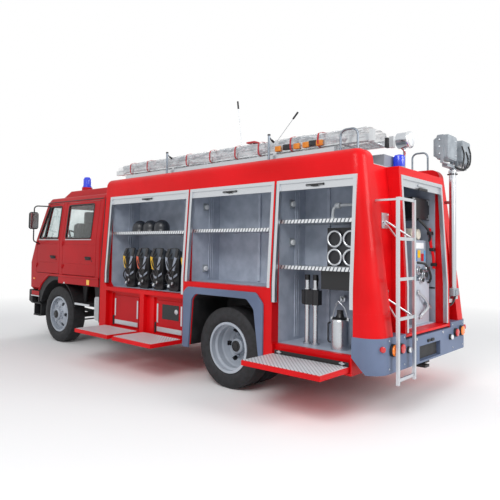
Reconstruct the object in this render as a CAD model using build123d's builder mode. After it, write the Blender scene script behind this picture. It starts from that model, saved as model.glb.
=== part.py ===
from build123d import *
import os

# Crew-cab fire and rescue truck, in millimetres. +X is forward, +Y is the truck's left, +Z is up.
# The origin is on the ground under the middle of the overall length. Steps hang folded down.

# Layout along the truck, measured from the axles
wheelbase = 4215
front_overhang = 1165        # front axle to the bumper's face
rear_overhang = 2090         # rear axle to the back of the climbing ladder
overall_length = front_overhang + wheelbase + rear_overhang
rear_x = rear_overhang - overall_length / 2
front_x = rear_x + wheelbase

# Wheels and tyres
tyre_radius = 483
tyre_half_width = 139
rim_flange_radius = 305
rim_seat_radius = 286
rim_half_width = 105
flange_width = 12
rim_wall = 10
front_track_half = 933       # centre plane of a front tyre
rear_outer_half = 1033       # centre plane of an outer rear tyre
twin_spacing = 330
hub_radius = 92
hand_hole_count = 6
hand_hole_circle = 400
hand_hole_radius = 32

# Steering
kingpin_y = 745
kingpin_radius = 20
knuckle_radius = 44
knuckle_lug = 38
axle_end_height = 100
spindle_radius = 35
arm_length = 190             # kingpin to tie rod ball, rearward
arm_drop = 110
ball_pin_radius = 11
steer_clearance = 5
running_fit = 0.1
ball_fit = 0.4
seam = 0.2                   # gap between pieces that are bolted or laid together

# Chassis
rail_bottom = 590
rail_top = 790
rail_centre = 420
rail_flange = 70
rail_web = 10
rail_front = front_x + 915   # forward end of the rails
rail_back = rear_x - 1860

# Equipment body
body_front = rear_x + 2730
body_back = rear_x - 2000
body_half_width = 1200
body_base = 445
waist_height = 1300
lean_top = 2520
lean_in = 75                 # how far the side comes in from waist to lean_top
roof_height = 2735
rear_lean = 70               # how far the door surround comes forward up to lean_top
corner_lean = 235            # how far the rear corners come forward from sill_back to the roof
corner_radius = 185
top_corner_radius = 120
cantrail_radius = 115
roof_well_half = 880
roof_well_height = 2575
wall_inside = 1080           # flat inside face of the side walls
tunnel_half = 600            # space over the chassis under the body
sill_back = 830              # body's lower edge above the rear bumper
door_surround_half = 600
recess_front = rear_x - 1850
recess_top_front = rear_x - 1768
recess_bend = 2050           # above this height the recess wall leans forward
rear_door_half = 520
rear_door_bottom = 830
rear_door_top = 2450
lining_wall = 12
lining_depth_y = 560
rear_bay_front = rear_x - 900
frame_width = 40
frame_depth = 42
frame_proud = 3

# Compartments: name, rear edge, front edge from the rear axle, bottom, top
compartments = [
    ("pump", 810, 2540, 1070, 2410),
    ("middle", -640, 700, 1245, 2410),
    ("rear", -1695, -755, 630, 2410),
]
# Lower recesses that take the folded steps: rear edge, front edge, bottom, top
recesses = [(1760, 2450, 485, 985), (800, 1440, 485, 985)]
recess_depth = 85

# Steps: name, rear edge, front edge from the rear axle, height of the plate's middle
steps = [
    ("front", 1700, 2530, 462),
    ("middle", 775, 1590, 462),
    ("rear", -1700, -735, 505),
]
step_reach = 520
step_thickness = 50
step_hinge_y = 1172
step_pin_radius = 9
step_barrel_radius = 16
step_gap = 26                # hinge centre to the plate's inner edge
step_clearance = 7
step_seat_depth = 60         # shallow recess that takes the folded plate
step_ear = 12
step_lug = 26

# Wheel arch of the equipment body
arch_front = 750
arch_back = -600
arch_top = 1100
arch_corner = 75
arch_inner_y = 548
arch_trim_width = 105
arch_trim_proud = 24
liner = 8

# Rear bumper
bumper_front_x = rear_x - 1722
bumper_bottom = 480
bumper_back = rear_x - 2015
bumper_half_width = 1206
bumper_middle_top = 770
bumper_wall = 130
plate_pocket_half = 285
plate_pocket = (500, 660)

# Cab
cab_back = rear_x + 2880
cab_half_width = 1100
cab_wall = 45
cab_floor_bottom = 1030
cab_floor_top = 1186
cab_nose_bottom = 860
# Cab sections: height, front face from the rear axle, half width, front corner radius
cab_sections = [
    (860, 5300, 1100, 150),
    (1370, 5320, 1100, 150),
    (1790, 5140, 1100, 150),
    (2460, 4850, 1025, 130),
    (2545, 4780, 985, 130),
]
cab_rear_radius = 50
cab_roof_fillet = 40
nose_chamfer = 50
raised_roof = (2900, 4640, 850, 2672)    # rear, front from the rear axle, half width, height
raised_roof_slope = 330
door_gap = 8
# Side outlines of the doors and their windows, x from the rear axle
front_door = [(4175, 1192), (4985, 1192), (4985, 1800), (4700, 2430), (4175, 2430)]
rear_door = [(3020, 1192), (4060, 1192), (4060, 2430), (3020, 2430)]
front_panes = [
    [(4234, 1812), (4712, 1812), (4597, 2385), (4234, 2385)],
    [(4738, 1812), (4930, 1812), (4670, 2385), (4623, 2385)],
]
rear_window = [(3180, 1812), (3980, 1812), (3980, 2385), (3180, 2385)]
hinge_y = 1109
hinge_x = (4986.5, 4061.5)   # hinge lines of the front and rear doors from the rear axle
hinge_z = (1290, 1690)
hinge_radius = 8
hinge_pin_radius = 4
hinge_leaf = 34
tilt_pivot = (rear_x + 5262, 838)
tilt_pin_radius = 15
tilt_lug_radius = 32
cab_arch_radius = 600        # room for the steered front wheel
glass_thickness = 6
glass_gap = 0.2

# Mast and rear ladder
mast_x = rear_x - 1980
mast_y = -780
mast_radius = 40
mast_wall = 5
mast_bottom = 1130
mast_top = 2690
inner_mast_radius = 33
lamp_height = 2930
ladder_x = rear_x - 2065
ladder_rail_y = (560, 930)
ladder_bottom = 375
ladder_top = 2210
ladder_rung_z = (2200, 1800, 1400, 1010, 420)

os.makedirs("parts", exist_ok=True)


def keep(part, name):
    """Labels a finished piece and writes its file."""
    part.label = name
    export_step(part, f"parts/{name}.step")


def slab(x, y, z, mode=Mode.ADD):
    """Adds a box given by its two limits along each axis."""
    with Locations(((x[0] + x[1]) / 2, (y[0] + y[1]) / 2, (z[0] + z[1]) / 2)):
        Box(x[1] - x[0], y[1] - y[0], z[1] - z[0], mode=mode)


def side_prism(points, y, mode=Mode.ADD):
    """Extrudes a side outline of (x, z) points between two values of y."""
    with BuildSketch(Plane((0, y[1], 0), x_dir=(1, 0, 0), z_dir=(0, -1, 0))) as outline:
        with BuildLine():
            Polyline(*points, close=True)
        make_face()
    extrude(outline.sketch, amount=y[1] - y[0], mode=mode)


def cross_prism(points, x, mode=Mode.ADD):
    """Extrudes a cross outline of (y, z) points between two values of x."""
    with BuildSketch(Plane((x[0], 0, 0), x_dir=(0, 1, 0), z_dir=(1, 0, 0))) as outline:
        with BuildLine():
            Polyline(*points, close=True)
        make_face()
    extrude(outline.sketch, amount=x[1] - x[0], mode=mode)


def rod(start, end, radius, mode=Mode.ADD):
    """Adds a round bar from one point to another."""
    run = Vector(*end) - Vector(*start)
    with BuildSketch(Plane(start, z_dir=run)) as section:
        Circle(radius)
    extrude(section.sketch, amount=run.length, mode=mode)


def bent_tube(points, radius, bend):
    """Sweeps a round section along straight runs joined by bends."""
    with BuildLine() as path:
        FilletPolyline(*points, radius=bend)
    with BuildSketch(Plane(path.line @ 0, z_dir=path.line % 0)) as section:
        Circle(radius)
    sweep(section.sketch, path=path.line)


def turned(points, centre, mode=Mode.ADD):
    """Turns an outline of (y, radius) points about the Y line through centre, given as (x, y, z)."""
    with BuildSketch(Plane(centre, x_dir=(0, 1, 0), z_dir=(1, 0, 0))) as outline:
        with BuildLine():
            Polyline(*points, close=True)
        make_face()
    revolve(outline.sketch, axis=Axis(centre, (0, 1, 0)), mode=mode)


def wall_y(z):
    """Half width of the equipment body's side face at a height."""
    return body_half_width - lean_in * max(0, z - waist_height) / (lean_top - waist_height)


# Body shell: a lofted outline whose sides lean in above the waist and whose rear face leans
# forward, with a large rounded cantrail and rear corners
body_levels = [
    (body_base, body_half_width),
    (sill_back, body_half_width),
    (waist_height, body_half_width),
    (lean_top, body_half_width - lean_in),
    (roof_height, body_half_width - lean_in - 15),
]


def body_form():
    """Outer form of the equipment body."""
    with BuildPart() as form:
        for level, half in body_levels:
            risen = max(0, level - sill_back) / (roof_height - sill_back)
            back = body_back + corner_lean * risen
            with BuildSketch(Plane.XY.offset(level)) as section:
                with Locations(((body_front + back) / 2, 0)):
                    Rectangle(body_front - back, 2 * half)
                fillet(section.vertices().group_by(Axis.X)[0],
                       corner_radius + (top_corner_radius - corner_radius) * risen)
        loft(ruled=True)
        top = form.edges().group_by(Axis.Z)[-1]
        fillet(top.sort_by(Axis.X)[:-1], cantrail_radius)
        front = form.edges().filter_by(lambda e: e.center().X > body_front - 1)
        fillet(front.filter_by(lambda e: abs(e.center().Y) > roof_well_half), 28)
    return form.part


def opening_outline(back, front, bottom, top, corner):
    """Side outline of a compartment opening with its frame's width added."""
    fore = rear_x + front + frame_width
    lower = [(fore - corner, bottom), (fore, bottom + corner)] if corner else [(fore, bottom)]
    return [(rear_x + back - frame_width, bottom), *lower,
            (fore, top + frame_width), (rear_x + back - frame_width, top + frame_width)]


arch_outline = [
    (rear_x + arch_front - arch_trim_width - 12, body_base - 60),
    (rear_x + arch_front - arch_trim_width - 60, arch_top - 70),
    (rear_x + arch_front - arch_trim_width - 130, arch_top),
    (rear_x + arch_back + arch_trim_width + 140, arch_top),
    (rear_x + arch_back + arch_trim_width + 30, arch_top - 110),
    (rear_x + arch_back + arch_trim_width - 60, body_base - 60),
]


def arch_prism(points, corner, y, mode=Mode.ADD):
    """Extrudes a wheel arch outline between two values of y, its upper corners rounded."""
    with BuildSketch(Plane((0, y[1], 0), x_dir=(1, 0, 0), z_dir=(0, -1, 0))) as outline:
        with BuildLine():
            Polyline(*points, close=True)
        make_face()
        fillet(outline.vertices().filter_by(lambda v: v.Y > body_base + 200), corner)
    extrude(outline.sketch, amount=y[1] - y[0], mode=mode)


comp_front_floor = compartments[0][3] - lining_wall
comp_middle_floor = compartments[1][3] - lining_wall
comp_rear_floor = compartments[2][3] - lining_wall
ceiling = compartments[0][4] + frame_width + lining_wall
gap_front = rear_x + (compartments[0][1] + compartments[1][2]) / 2
gap_back = rear_x + (compartments[1][1] + compartments[2][2]) / 2
cavity_front = rear_x + compartments[0][2] + frame_width + lining_wall
cavity_back = rear_x + compartments[2][1] - frame_width - lining_wall

with BuildPart() as body_shell:
    add(body_form())
    # Roof well between the cantrails and behind a front lip, with a seam under the cantrails
    slab((body_back - 50, body_front - 50), (-roof_well_half, roof_well_half),
         (roof_well_height, roof_height + 50), Mode.SUBTRACT)
    slab((body_back - 50, body_front + 50), (-body_half_width, body_half_width),
         (roof_well_height, roof_well_height + seam), Mode.SUBTRACT)
    # Upright recesses beside the rear door, and the door's surround, which leans less than the corners
    for side in (1, -1):
        side_prism([(body_back - 50, sill_back), (recess_front, sill_back), (recess_front, recess_bend),
                    (recess_top_front, roof_height), (body_back - 50, roof_height)],
                   sorted((side * door_surround_half, side * roof_well_half)), Mode.SUBTRACT)
    side_prism([(body_back, body_base), (body_back, waist_height), (body_back + rear_lean, lean_top),
                (body_back + rear_lean, roof_well_height), (recess_front + 90, roof_well_height),
                (recess_front + 90, body_base)], (-door_surround_half, door_surround_half))
    # Inside space over the three floors, and the tunnel over the chassis
    side_prism([(cavity_front, comp_front_floor), (cavity_front, ceiling),
                (cavity_back, ceiling), (cavity_back, comp_rear_floor),
                (gap_back, comp_rear_floor), (gap_back, comp_middle_floor),
                (gap_front, comp_middle_floor), (gap_front, comp_front_floor)],
               (lining_depth_y, wall_inside), Mode.SUBTRACT)
    side_prism([(cavity_front, comp_front_floor), (cavity_front, ceiling),
                (cavity_back, ceiling), (cavity_back, comp_rear_floor),
                (gap_back, comp_rear_floor), (gap_back, comp_middle_floor),
                (gap_front, comp_middle_floor), (gap_front, comp_front_floor)],
               (-wall_inside, -lining_depth_y), Mode.SUBTRACT)
    slab((rear_bay_front, cavity_front), (-lining_depth_y, lining_depth_y),
         (comp_front_floor, ceiling), Mode.SUBTRACT)
    slab((body_back - 50, rear_bay_front), (-rear_door_half - frame_width, rear_door_half + frame_width),
         (rear_door_bottom - lining_wall, rear_door_top + frame_width), Mode.SUBTRACT)
    slab((body_back - 50, body_front + 50), (-tunnel_half, tunnel_half),
         (body_base - 50, rail_top), Mode.SUBTRACT)
    # Space for the rear bumper, deeper under the door sill
    slab((body_back - 50, bumper_front_x), (-body_half_width - 50, body_half_width + 50),
         (body_base - 50, bumper_middle_top), Mode.SUBTRACT)
    for side in (1, -1):
        ends = sorted((side * (door_surround_half + 20), side * (body_half_width + 50)))
        slab((body_back - 50, bumper_front_x), ends, (bumper_middle_top, sill_back), Mode.SUBTRACT)
    # Seams between the lower body, the uprights and the ceiling
    for level in (comp_front_floor, ceiling - lining_wall - seam):
        slab((body_back - 50, body_front + 50), (-body_half_width - 50, body_half_width + 50),
             (level, level + seam), Mode.SUBTRACT)
    for side in (1, -1):
        outside = sorted((side * wall_inside, side * (body_half_width + 50)))
        for name, back, front, bottom, top in compartments:
            corner = 60 if name == "pump" else 0
            side_prism(opening_outline(back, front, bottom, top, corner), outside, Mode.SUBTRACT)
        depth = sorted((side * (body_half_width - recess_depth), side * (body_half_width + 50)))
        for back, front, bottom, top in recesses:
            slab((rear_x + back, rear_x + front), depth, (bottom, top), Mode.SUBTRACT)
        arch_prism(arch_outline, arch_corner, sorted((side * arch_inner_y, side * (body_half_width + 50))),
                   Mode.SUBTRACT)
        seat = sorted((side * (body_half_width - step_seat_depth), side * (body_half_width + 50)))
        for name, back, front, level in steps:
            slab((rear_x + back - step_clearance, rear_x + front + step_clearance), seat,
                 (level - 35 if name == "rear" else body_base - 50,
                  level + step_gap + step_reach + step_clearance), Mode.SUBTRACT)
            # Hinge ears either side of each step lug, with the pin through them
            for spot in (rear_x + back + 110, rear_x + front - 110):
                face = body_half_width - step_seat_depth
                for start in (spot - step_lug / 2 - 0.5 - step_ear, spot + step_lug / 2 + 0.5):
                    slab((start, start + step_ear), sorted((side * (face - 5), side * step_hinge_y)),
                         (level - step_pin_radius, level + step_barrel_radius))
                    rod((start, side * step_hinge_y, level), (start + step_ear, side * step_hinge_y, level),
                        step_barrel_radius)
                reach = step_lug / 2 + 0.5 + step_ear
                rod((spot - reach, side * step_hinge_y, level), (spot + reach, side * step_hinge_y, level),
                    step_pin_radius)
keep(body_shell.part, "body_shell")

# Compartment linings: flat grey sheets behind each side opening and behind the rear door


def lining_box(x, y, z, open_side):
    """Adds the five sheets of a lined space between its outer limits, open towards one side."""
    wall = lining_wall
    for level in (z[0], z[1] - wall):
        slab(x, y, (level, level + wall))
    upright = (z[0] + wall + seam, z[1] - wall - seam)
    if open_side == "rear":
        for start in (y[0], y[1] - wall):
            slab(x, (start, start + wall), upright)
        slab((x[1] - wall, x[1]), (y[0] + wall + seam, y[1] - wall - seam), upright)
    else:
        for start in (x[0], x[1] - wall):
            slab((start, start + wall), y, upright)
        back = (y[0], y[0] + wall) if open_side == "left" else (y[1] - wall, y[1])
        slab((x[0] + wall + seam, x[1] - wall - seam), back, upright)


with BuildPart() as compartment_lining:
    for side, hand in ((1, "left"), (-1, "right")):
        for name, back, front, bottom, top in compartments:
            lining_box((rear_x + back - frame_width - lining_wall, rear_x + front + frame_width + lining_wall),
                       sorted((side * lining_depth_y, side * wall_inside)),
                       (bottom - lining_wall, top + frame_width + lining_wall), hand)
    inner = rear_door_half + frame_width - seam
    lining_box((recess_front, rear_bay_front), (-inner, inner),
               (rear_door_bottom - lining_wall, rear_door_top + frame_width), "rear")
keep(compartment_lining.part, "compartment_lining")


def frame_bar(x, z, depth):
    """Adds an upright or level frame strip that follows the side wall, between two heights."""
    heights = [z[0]] + [waist_height] * (z[0] < waist_height < z[1]) + [z[1]]
    outer = [(wall_y(h) + frame_proud, h) for h in heights]
    inner_line = [(wall_y(h) - depth, h) for h in reversed(heights)]
    cross_prism(outer + inner_line, x)


# Aluminium frames round the side openings, the level strip over them, and the rear door's frame
with BuildPart() as opening_frames:
    for name, back, front, bottom, top in compartments:
        x = (rear_x + back, rear_x + front)
        rail_base = 1090 if name == "rear" else bottom
        frame_bar((x[0] - frame_width, x[0]), (rail_base, top - seam), frame_depth)
        upright_base = rail_base + (60 if name == "pump" else 0)
        frame_bar((x[1], x[1] + frame_width), (upright_base, top - seam), frame_depth)
        frame_bar((x[0] - frame_width, x[1] + frame_width), (top, top + frame_width), frame_depth)
    mirror(about=Plane.XZ)
    door_x = (body_back + rear_lean - 8, body_back + rear_lean + frame_depth)
    for side in (1, -1):
        outline = [(body_back - frame_proud, rear_door_bottom), (body_back - frame_proud, waist_height),
                   (door_x[0], rear_door_top - seam), (door_x[0] + frame_depth, rear_door_top - seam),
                   (body_back + frame_depth, waist_height), (body_back + frame_depth, rear_door_bottom)]
        side_prism(outline, sorted((side * rear_door_half, side * (rear_door_half + frame_width))))
    slab(door_x, (-rear_door_half - frame_width, rear_door_half + frame_width),
         (rear_door_top, rear_door_top + frame_width))
keep(opening_frames.part, "opening_frames")

# Rolled-up shutters: the bottom bar of each, at the head of its opening, with its grip
bar_height = 78
bar_depth = 22
bar_inset = 14
with BuildPart() as shutter_bars:
    for name, back, front, bottom, top in compartments:
        x = (rear_x + back, rear_x + front)
        outer = [(wall_y(h) - bar_inset, h) for h in (top - bar_height, top)]
        inner_line = [(y - bar_depth, h) for y, h in reversed(outer)]
        cross_prism(outer + inner_line, x)
        grip_x = (x[0] + x[1]) / 2
        grip_y = wall_y(top - 30) - bar_inset
        slab((grip_x - 110, grip_x + 110), (grip_y - 4, grip_y + 14), (top - 44, top - 22))
    mirror(about=Plane.XZ)
    bar_x = body_back + rear_lean
    slab((bar_x + bar_inset, bar_x + bar_inset + bar_depth), (-rear_door_half, rear_door_half),
         (rear_door_top - bar_height, rear_door_top))
    slab((bar_x, bar_x + bar_inset + 4), (-110, 110), (rear_door_top - 44, rear_door_top - 22))
keep(shutter_bars.part, "shutter_bars")

# Shelves: compartment, height of the top face
shelf_levels = [("pump", 1900), ("middle", 1915), ("rear", 2000), ("rear", 1490)]
shelf_thickness = 32
shelf_gap = 0.3
with BuildPart() as shelves:
    for name, back, front, bottom, top in compartments:
        for shelf, level in shelf_levels:
            if shelf == name:
                slab((rear_x + back - frame_width + shelf_gap, rear_x + front + frame_width - shelf_gap),
                     (lining_depth_y + lining_wall, wall_inside - 12),
                     (level - shelf_thickness, level))
    mirror(about=Plane.XZ)
keep(shelves.part, "shelves")

# Blue-grey trims round the rear wheel arches
trim_outline = [
    (rear_x + arch_front, body_base - 40),
    (rear_x + arch_front, arch_top + 10),
    (rear_x + arch_front - 80, arch_top + 82),
    (rear_x + arch_back + 110, arch_top + 82),
    (rear_x + arch_back, arch_top - 40),
    (rear_x + arch_back, body_base + 20),
]
with BuildPart() as arch_trims:
    arch_prism(trim_outline, arch_corner, (body_half_width, body_half_width + arch_trim_proud))
    fillet(arch_trims.faces().sort_by(Axis.Y)[-1].edges(), 12)
    arch_prism(arch_outline, arch_corner, (body_half_width - 1, body_half_width + arch_trim_proud + 1),
               Mode.SUBTRACT)
    mirror(about=Plane.XZ)
keep(arch_trims.part, "arch_trims")

# Wheel houses over the rear wheels: a folded liner inside each arch
with BuildPart() as wheel_houses:
    arch_prism(arch_outline, arch_corner, (arch_inner_y, body_half_width - 20))
    inside = [(x + liner * (1 if x < rear_x else -1), z - (liner if z > body_base else 0))
              for x, z in arch_outline]
    arch_prism(inside, arch_corner - liner, (arch_inner_y + liner, body_half_width), Mode.SUBTRACT)
    slab((body_back, body_front), (arch_inner_y - 1, body_half_width), (body_base - 100, body_base),
         Mode.SUBTRACT)
    slab((rear_x - 240, rear_x + 240), (arch_inner_y - 1, arch_inner_y + liner + 1), (body_base - 1, 740),
         Mode.SUBTRACT)
    mirror(about=Plane.XZ)
keep(wheel_houses.part, "wheel_houses")

# Rear bumper: wraps round the rear corners, lower in the middle, with the plate pocket
with BuildPart() as rear_bumper:
    with BuildSketch(Plane.XY.offset(bumper_bottom)) as plan:
        with Locations(((bumper_front_x + bumper_back) / 2, 0)):
            Rectangle(bumper_front_x - bumper_back, 2 * bumper_half_width)
        fillet(plan.vertices().group_by(Axis.X)[0], corner_radius + 15)
    extrude(amount=sill_back - bumper_bottom)
    slab((bumper_back + bumper_wall, bumper_front_x + 1), (-wall_inside - 5, wall_inside + 5),
         (bumper_bottom - 1, sill_back + 1), Mode.SUBTRACT)
    slab((bumper_back - 1, bumper_front_x + 1), (-door_surround_half - 20, door_surround_half + 20),
         (bumper_middle_top, sill_back + 1), Mode.SUBTRACT)
    slab((bumper_back - 1, bumper_back + 45), (-plate_pocket_half, plate_pocket_half),
         plate_pocket, Mode.SUBTRACT)
    for side in (1, -1):
        side_prism([(bumper_front_x + 1, bumper_bottom - 1), (bumper_front_x + 1, bumper_bottom + 150),
                    (bumper_front_x - 150, bumper_bottom - 1)],
                   sorted((side * 900, side * (bumper_half_width + 1))), Mode.SUBTRACT)
keep(rear_bumper.part, "rear_bumper")

# Rear lamps: distance from the middle, height, radius, depth behind the bumper's face
lamp_table = [(925, 705, 62, 28), (745, 700, 52, 24), (575, 665, 34, 18)]
with BuildPart() as rear_lamps:
    for side in (1, -1):
        for y, z, radius, depth in lamp_table:
            rod((bumper_back, side * y, z), (bumper_back - depth, side * y, z), radius)
keep(rear_lamps.part, "rear_lamps")

# Roof deck with the raised ladder locker on the left
locker = ((rear_x - 1290, rear_x + 2600), (280, 850), 2830)
deck_thickness = 12
with BuildPart() as roof_deck:
    slab((recess_front + 75, body_front - 54), (-roof_well_half + 4, roof_well_half - 4),
         (roof_well_height + seam, roof_well_height + deck_thickness))
    slab(locker[0], locker[1], (roof_well_height, locker[2]))
    fillet(roof_deck.edges().group_by(Axis.Z)[-1].filter_by(Axis.X), 25)
keep(roof_deck.part, "roof_deck")

# Roof rails: ladder posts with hooks, and the bent handrail over each rear corner
cantrail_crown_y = 905
post_x = (rear_x + 1510, rear_x - 405)
post_height = 3055
handrail_x = (rear_x - 1615, rear_x - 1405)
handrail_height = 2975
with BuildPart() as roof_rails:
    for x in post_x:
        rod((x, cantrail_crown_y, roof_height), (x, cantrail_crown_y, post_height), 15)
        rod((x, cantrail_crown_y, post_height - 18), (x, cantrail_crown_y - 70, post_height - 60), 9)
    for side in (1, -1):
        y = side * cantrail_crown_y
        bent_tube([(handrail_x[0], y, roof_height), (handrail_x[0], y, handrail_height),
                   (handrail_x[1], y, handrail_height), (handrail_x[1], y, roof_height)], 12, 70)
keep(roof_rails.part, "roof_rails")

# Roof ladder: two sections stacked on the locker, with rubber feet at the rear
ladder_y = (300, 800)
ladder_span = (rear_x - 1690, rear_x + 2930)
ladder_rail = (36, 72)
rung_pitch = 300
rung_radius = 14
# Sections: inset from the outer rails, bottom height, rear end, front end
ladder_sections = [
    (0, 2852, ladder_span[0], ladder_span[1]),
    (45, 2936, ladder_span[0] + 210, ladder_span[1] - 120),
]
with BuildPart() as roof_ladder:
    for inset, base, back, front in ladder_sections:
        inner = (ladder_y[0] + inset + ladder_rail[0], ladder_y[1] - inset - ladder_rail[0])
        slab((back, front), (inner[0] - ladder_rail[0], inner[0]), (base, base + ladder_rail[1]))
        slab((back, front), (inner[1], inner[1] + ladder_rail[0]), (base, base + ladder_rail[1]))
        count = int((front - back - 200) / rung_pitch) + 1
        for rung in range(count):
            x = back + 120 + rung * rung_pitch
            rod((x, inner[0] + seam, base + 36), (x, inner[1] - seam, base + 36), rung_radius)
    for y in (ladder_y[0], ladder_y[1] - ladder_rail[0]):
        slab((ladder_span[0] - 50, ladder_span[0] - seam), (y - 8, y + ladder_rail[0] + 8), (2838, 2965))
    section_gap = (ladder_sections[0][1] + ladder_rail[1] + seam, ladder_sections[1][1] - seam)
    for x in post_x:
        slab((x - 25, x + 25), (ladder_y[0] + 10, ladder_y[1] - 10), (locker[2], ladder_sections[0][1] - seam))
        for y in (ladder_y[0] + 20, ladder_y[1] - 75):
            slab((x - 20, x + 20), (y, y + 55), section_gap)
keep(roof_ladder.part, "roof_ladder")

# Roof fittings: searchlight on its post, the control box, the rear beacon and the twin aerials
roof_edge_x = recess_front + 120
with BuildPart() as roof_fittings:
    deck_top = roof_well_height + deck_thickness
    rod((roof_edge_x, 40, deck_top), (roof_edge_x, 40, 2880), 14)
    rod((roof_edge_x - 60, 40, 2965), (roof_edge_x + 70, 40, 2965), 92)
    slab((roof_edge_x - 12, roof_edge_x + 12), (28, 52), (2860, 2900))
    slab((roof_edge_x + 10, roof_edge_x + 190), (270, 520), (deck_top, deck_top + 150))
    rod((roof_edge_x - 50, 280, deck_top), (roof_edge_x - 50, 280, deck_top + 95), 62)
    aerial_x = rear_x + 800
    slab((aerial_x - 40, aerial_x + 40), (-60, 20), (deck_top, deck_top + 45))
    rod((aerial_x, -20, deck_top + 40), (aerial_x + 180, -20, 3930), 4)
    rod((aerial_x, -20, deck_top + 40), (aerial_x - 960, -20, 3575), 4)
keep(roof_fittings.part, "roof_fittings")

# Mast: fixed outer tube clamped in the right-hand recess, with its base box
with BuildPart() as mast_tube:
    rod((mast_x, mast_y, mast_bottom), (mast_x, mast_y, mast_top), mast_radius)
    rod((mast_x, mast_y, mast_top - 28), (mast_x, mast_y, mast_top), mast_radius + 9)
    rod((mast_x, mast_y, mast_bottom + 12), (mast_x, mast_y, mast_top - 40), mast_radius - mast_wall,
        Mode.SUBTRACT)
    rod((mast_x, mast_y, mast_top - 41), (mast_x, mast_y, mast_top + 1), inner_mast_radius + running_fit,
        Mode.SUBTRACT)
    recess_slope = (recess_top_front - recess_front) / (roof_height - recess_bend)
    for z in (2290, 1240):
        wall = recess_front + recess_slope * max(0, z - 18 - recess_bend)
        slab((mast_x + mast_radius - 4, wall), (mast_y - 22, mast_y + 22), (z - 18, z + 18))
    slab((recess_front - 100, recess_front), (mast_y - 62, mast_y + 62), (1050, 1135))
    slab((mast_x - 45, recess_front), (mast_y - 40, mast_y + 40), (1100, 1135))
keep(mast_tube.part, "mast_tube")

# Sliding inner mast with the crossbar and two floodlights
inner_bottom = mast_bottom + 60
lamp_size = (130, 300, 290)
lamp_back = (55, 190, 170)
lamp_offset = 235
lamp_x = mast_x - 20
with BuildPart() as mast_head:
    for side in (1, -1):
        y = mast_y + side * lamp_offset
        with BuildSketch(Plane((lamp_x - lamp_size[0] / 2, y, lamp_height), x_dir=(0, 1, 0), z_dir=(1, 0, 0))):
            RectangleRounded(lamp_size[1], lamp_size[2], 30)
        extrude(amount=lamp_size[0])
        with BuildSketch(Plane((lamp_x + lamp_size[0] / 2, y, lamp_height), x_dir=(0, 1, 0), z_dir=(1, 0, 0))):
            RectangleRounded(lamp_size[1] - 20, lamp_size[2] - 20, 28)
        extrude(amount=lamp_back[0], taper=32)
        # Stirrup round the lamp
        for end in (1, -1):
            edge = y + end * (lamp_size[1] / 2 + 6)
            slab((lamp_x - 18, lamp_x + 18), (edge - 6, edge + 6), (lamp_height - 190, lamp_height + 20))
        slab((lamp_x - 18, lamp_x + 18), (y - lamp_size[1] / 2 - 12, y + lamp_size[1] / 2 + 12),
             (lamp_height - 196, lamp_height - 184))
    slab((lamp_x - 16, mast_x + 30), (mast_y - lamp_offset - 20, mast_y + lamp_offset + 20),
         (lamp_height - 222, lamp_height - 186))
    rod((mast_x, mast_y, inner_bottom), (mast_x, mast_y, lamp_height - 190), inner_mast_radius)
keep(mast_head.part, "mast_head")

# Climbing ladder on the rear left, held by struts from two wall plates and by an arm at the top
ladder_rail_x = (ladder_x - 25, ladder_x + 1)
ladder_rail_half = 19
strut_radius = 10
strut_drop = 185
strut_z = (1990, 1195)
plate_wall = 8
plate_y = (690, 840)
top_arm_z = (2180, 2200)


def corner_face(z):
    """Rear face of the body's corner columns at a height."""
    return body_back + corner_lean * max(0, z - sill_back) / (roof_height - sill_back)


with BuildPart() as rear_ladder:
    middle = (plate_y[0] + plate_y[1]) / 2
    for z in strut_z:
        for start, end in zip((middle - 20, middle + 20), ladder_rail_y):
            rod((recess_front, start, z), (ladder_x, end, z - strut_drop), strut_radius)
    slab((recess_front - plate_wall - seam, recess_front + 20), plate_y, (ladder_bottom, ladder_top), Mode.SUBTRACT)
    for z in strut_z:
        slab((recess_front - plate_wall, recess_front), plate_y, (z - 80, z + 80))
    for y in ladder_rail_y:
        slab((ladder_rail_x[0] - 20, ladder_rail_x[1] + seam),
             (y - ladder_rail_half - 20, y + ladder_rail_half + 20), (ladder_bottom, ladder_top), Mode.SUBTRACT)
        slab(ladder_rail_x, (y - ladder_rail_half, y + ladder_rail_half), (ladder_bottom, ladder_top))
    for z in ladder_rung_z:
        slab((ladder_x - 18, ladder_x - 2),
             (ladder_rail_y[0] + ladder_rail_half + seam, ladder_rail_y[1] - ladder_rail_half - seam),
             (z - 16, z + 16))
    slab((ladder_rail_x[1] + seam, corner_face(top_arm_z[0])), (ladder_rail_y[1] - 10, ladder_rail_y[1] + 10),
         top_arm_z)
keep(rear_ladder.part, "rear_ladder")

# Breathing sets stowed in a row: a domed cylinder on a back plate, with its valve below
set_count = 5
set_pitch = 335
set_first = rear_x + 2225
cylinder_radius = 74
with BuildPart() as breathing_sets:
    floor = compartments[0][3]
    for number in range(set_count):
        x = set_first - number * set_pitch
        with BuildSketch(Plane.XZ) as half_section:
            with BuildLine():
                Line((0, floor), (28, floor))
                Line((28, floor), (28, floor + 70))
                ThreePointArc((28, floor + 70), (60, floor + 84), (cylinder_radius, floor + 120))
                Line((cylinder_radius, floor + 120), (cylinder_radius, floor + 500))
                CenterArc((0, floor + 500), cylinder_radius, 0, 90)
                Line((0, floor + 500 + cylinder_radius), (0, floor))
            make_face()
        revolve(Pos(x, 900, 0) * half_section.sketch, axis=Axis((x, 900, 0), (0, 0, 1)))
        with BuildSketch(Plane.XZ.offset(-990)) as plate:
            with Locations((x, floor + 300)):
                RectangleRounded(230, 600, 70)
        extrude(plate.sketch, amount=30)
        slab((x - 30, x + 30), (890, 970), (floor + 140, floor + 460))
    mirror(about=Plane.XZ)
keep(breathing_sets.part, "breathing_sets")

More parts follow.
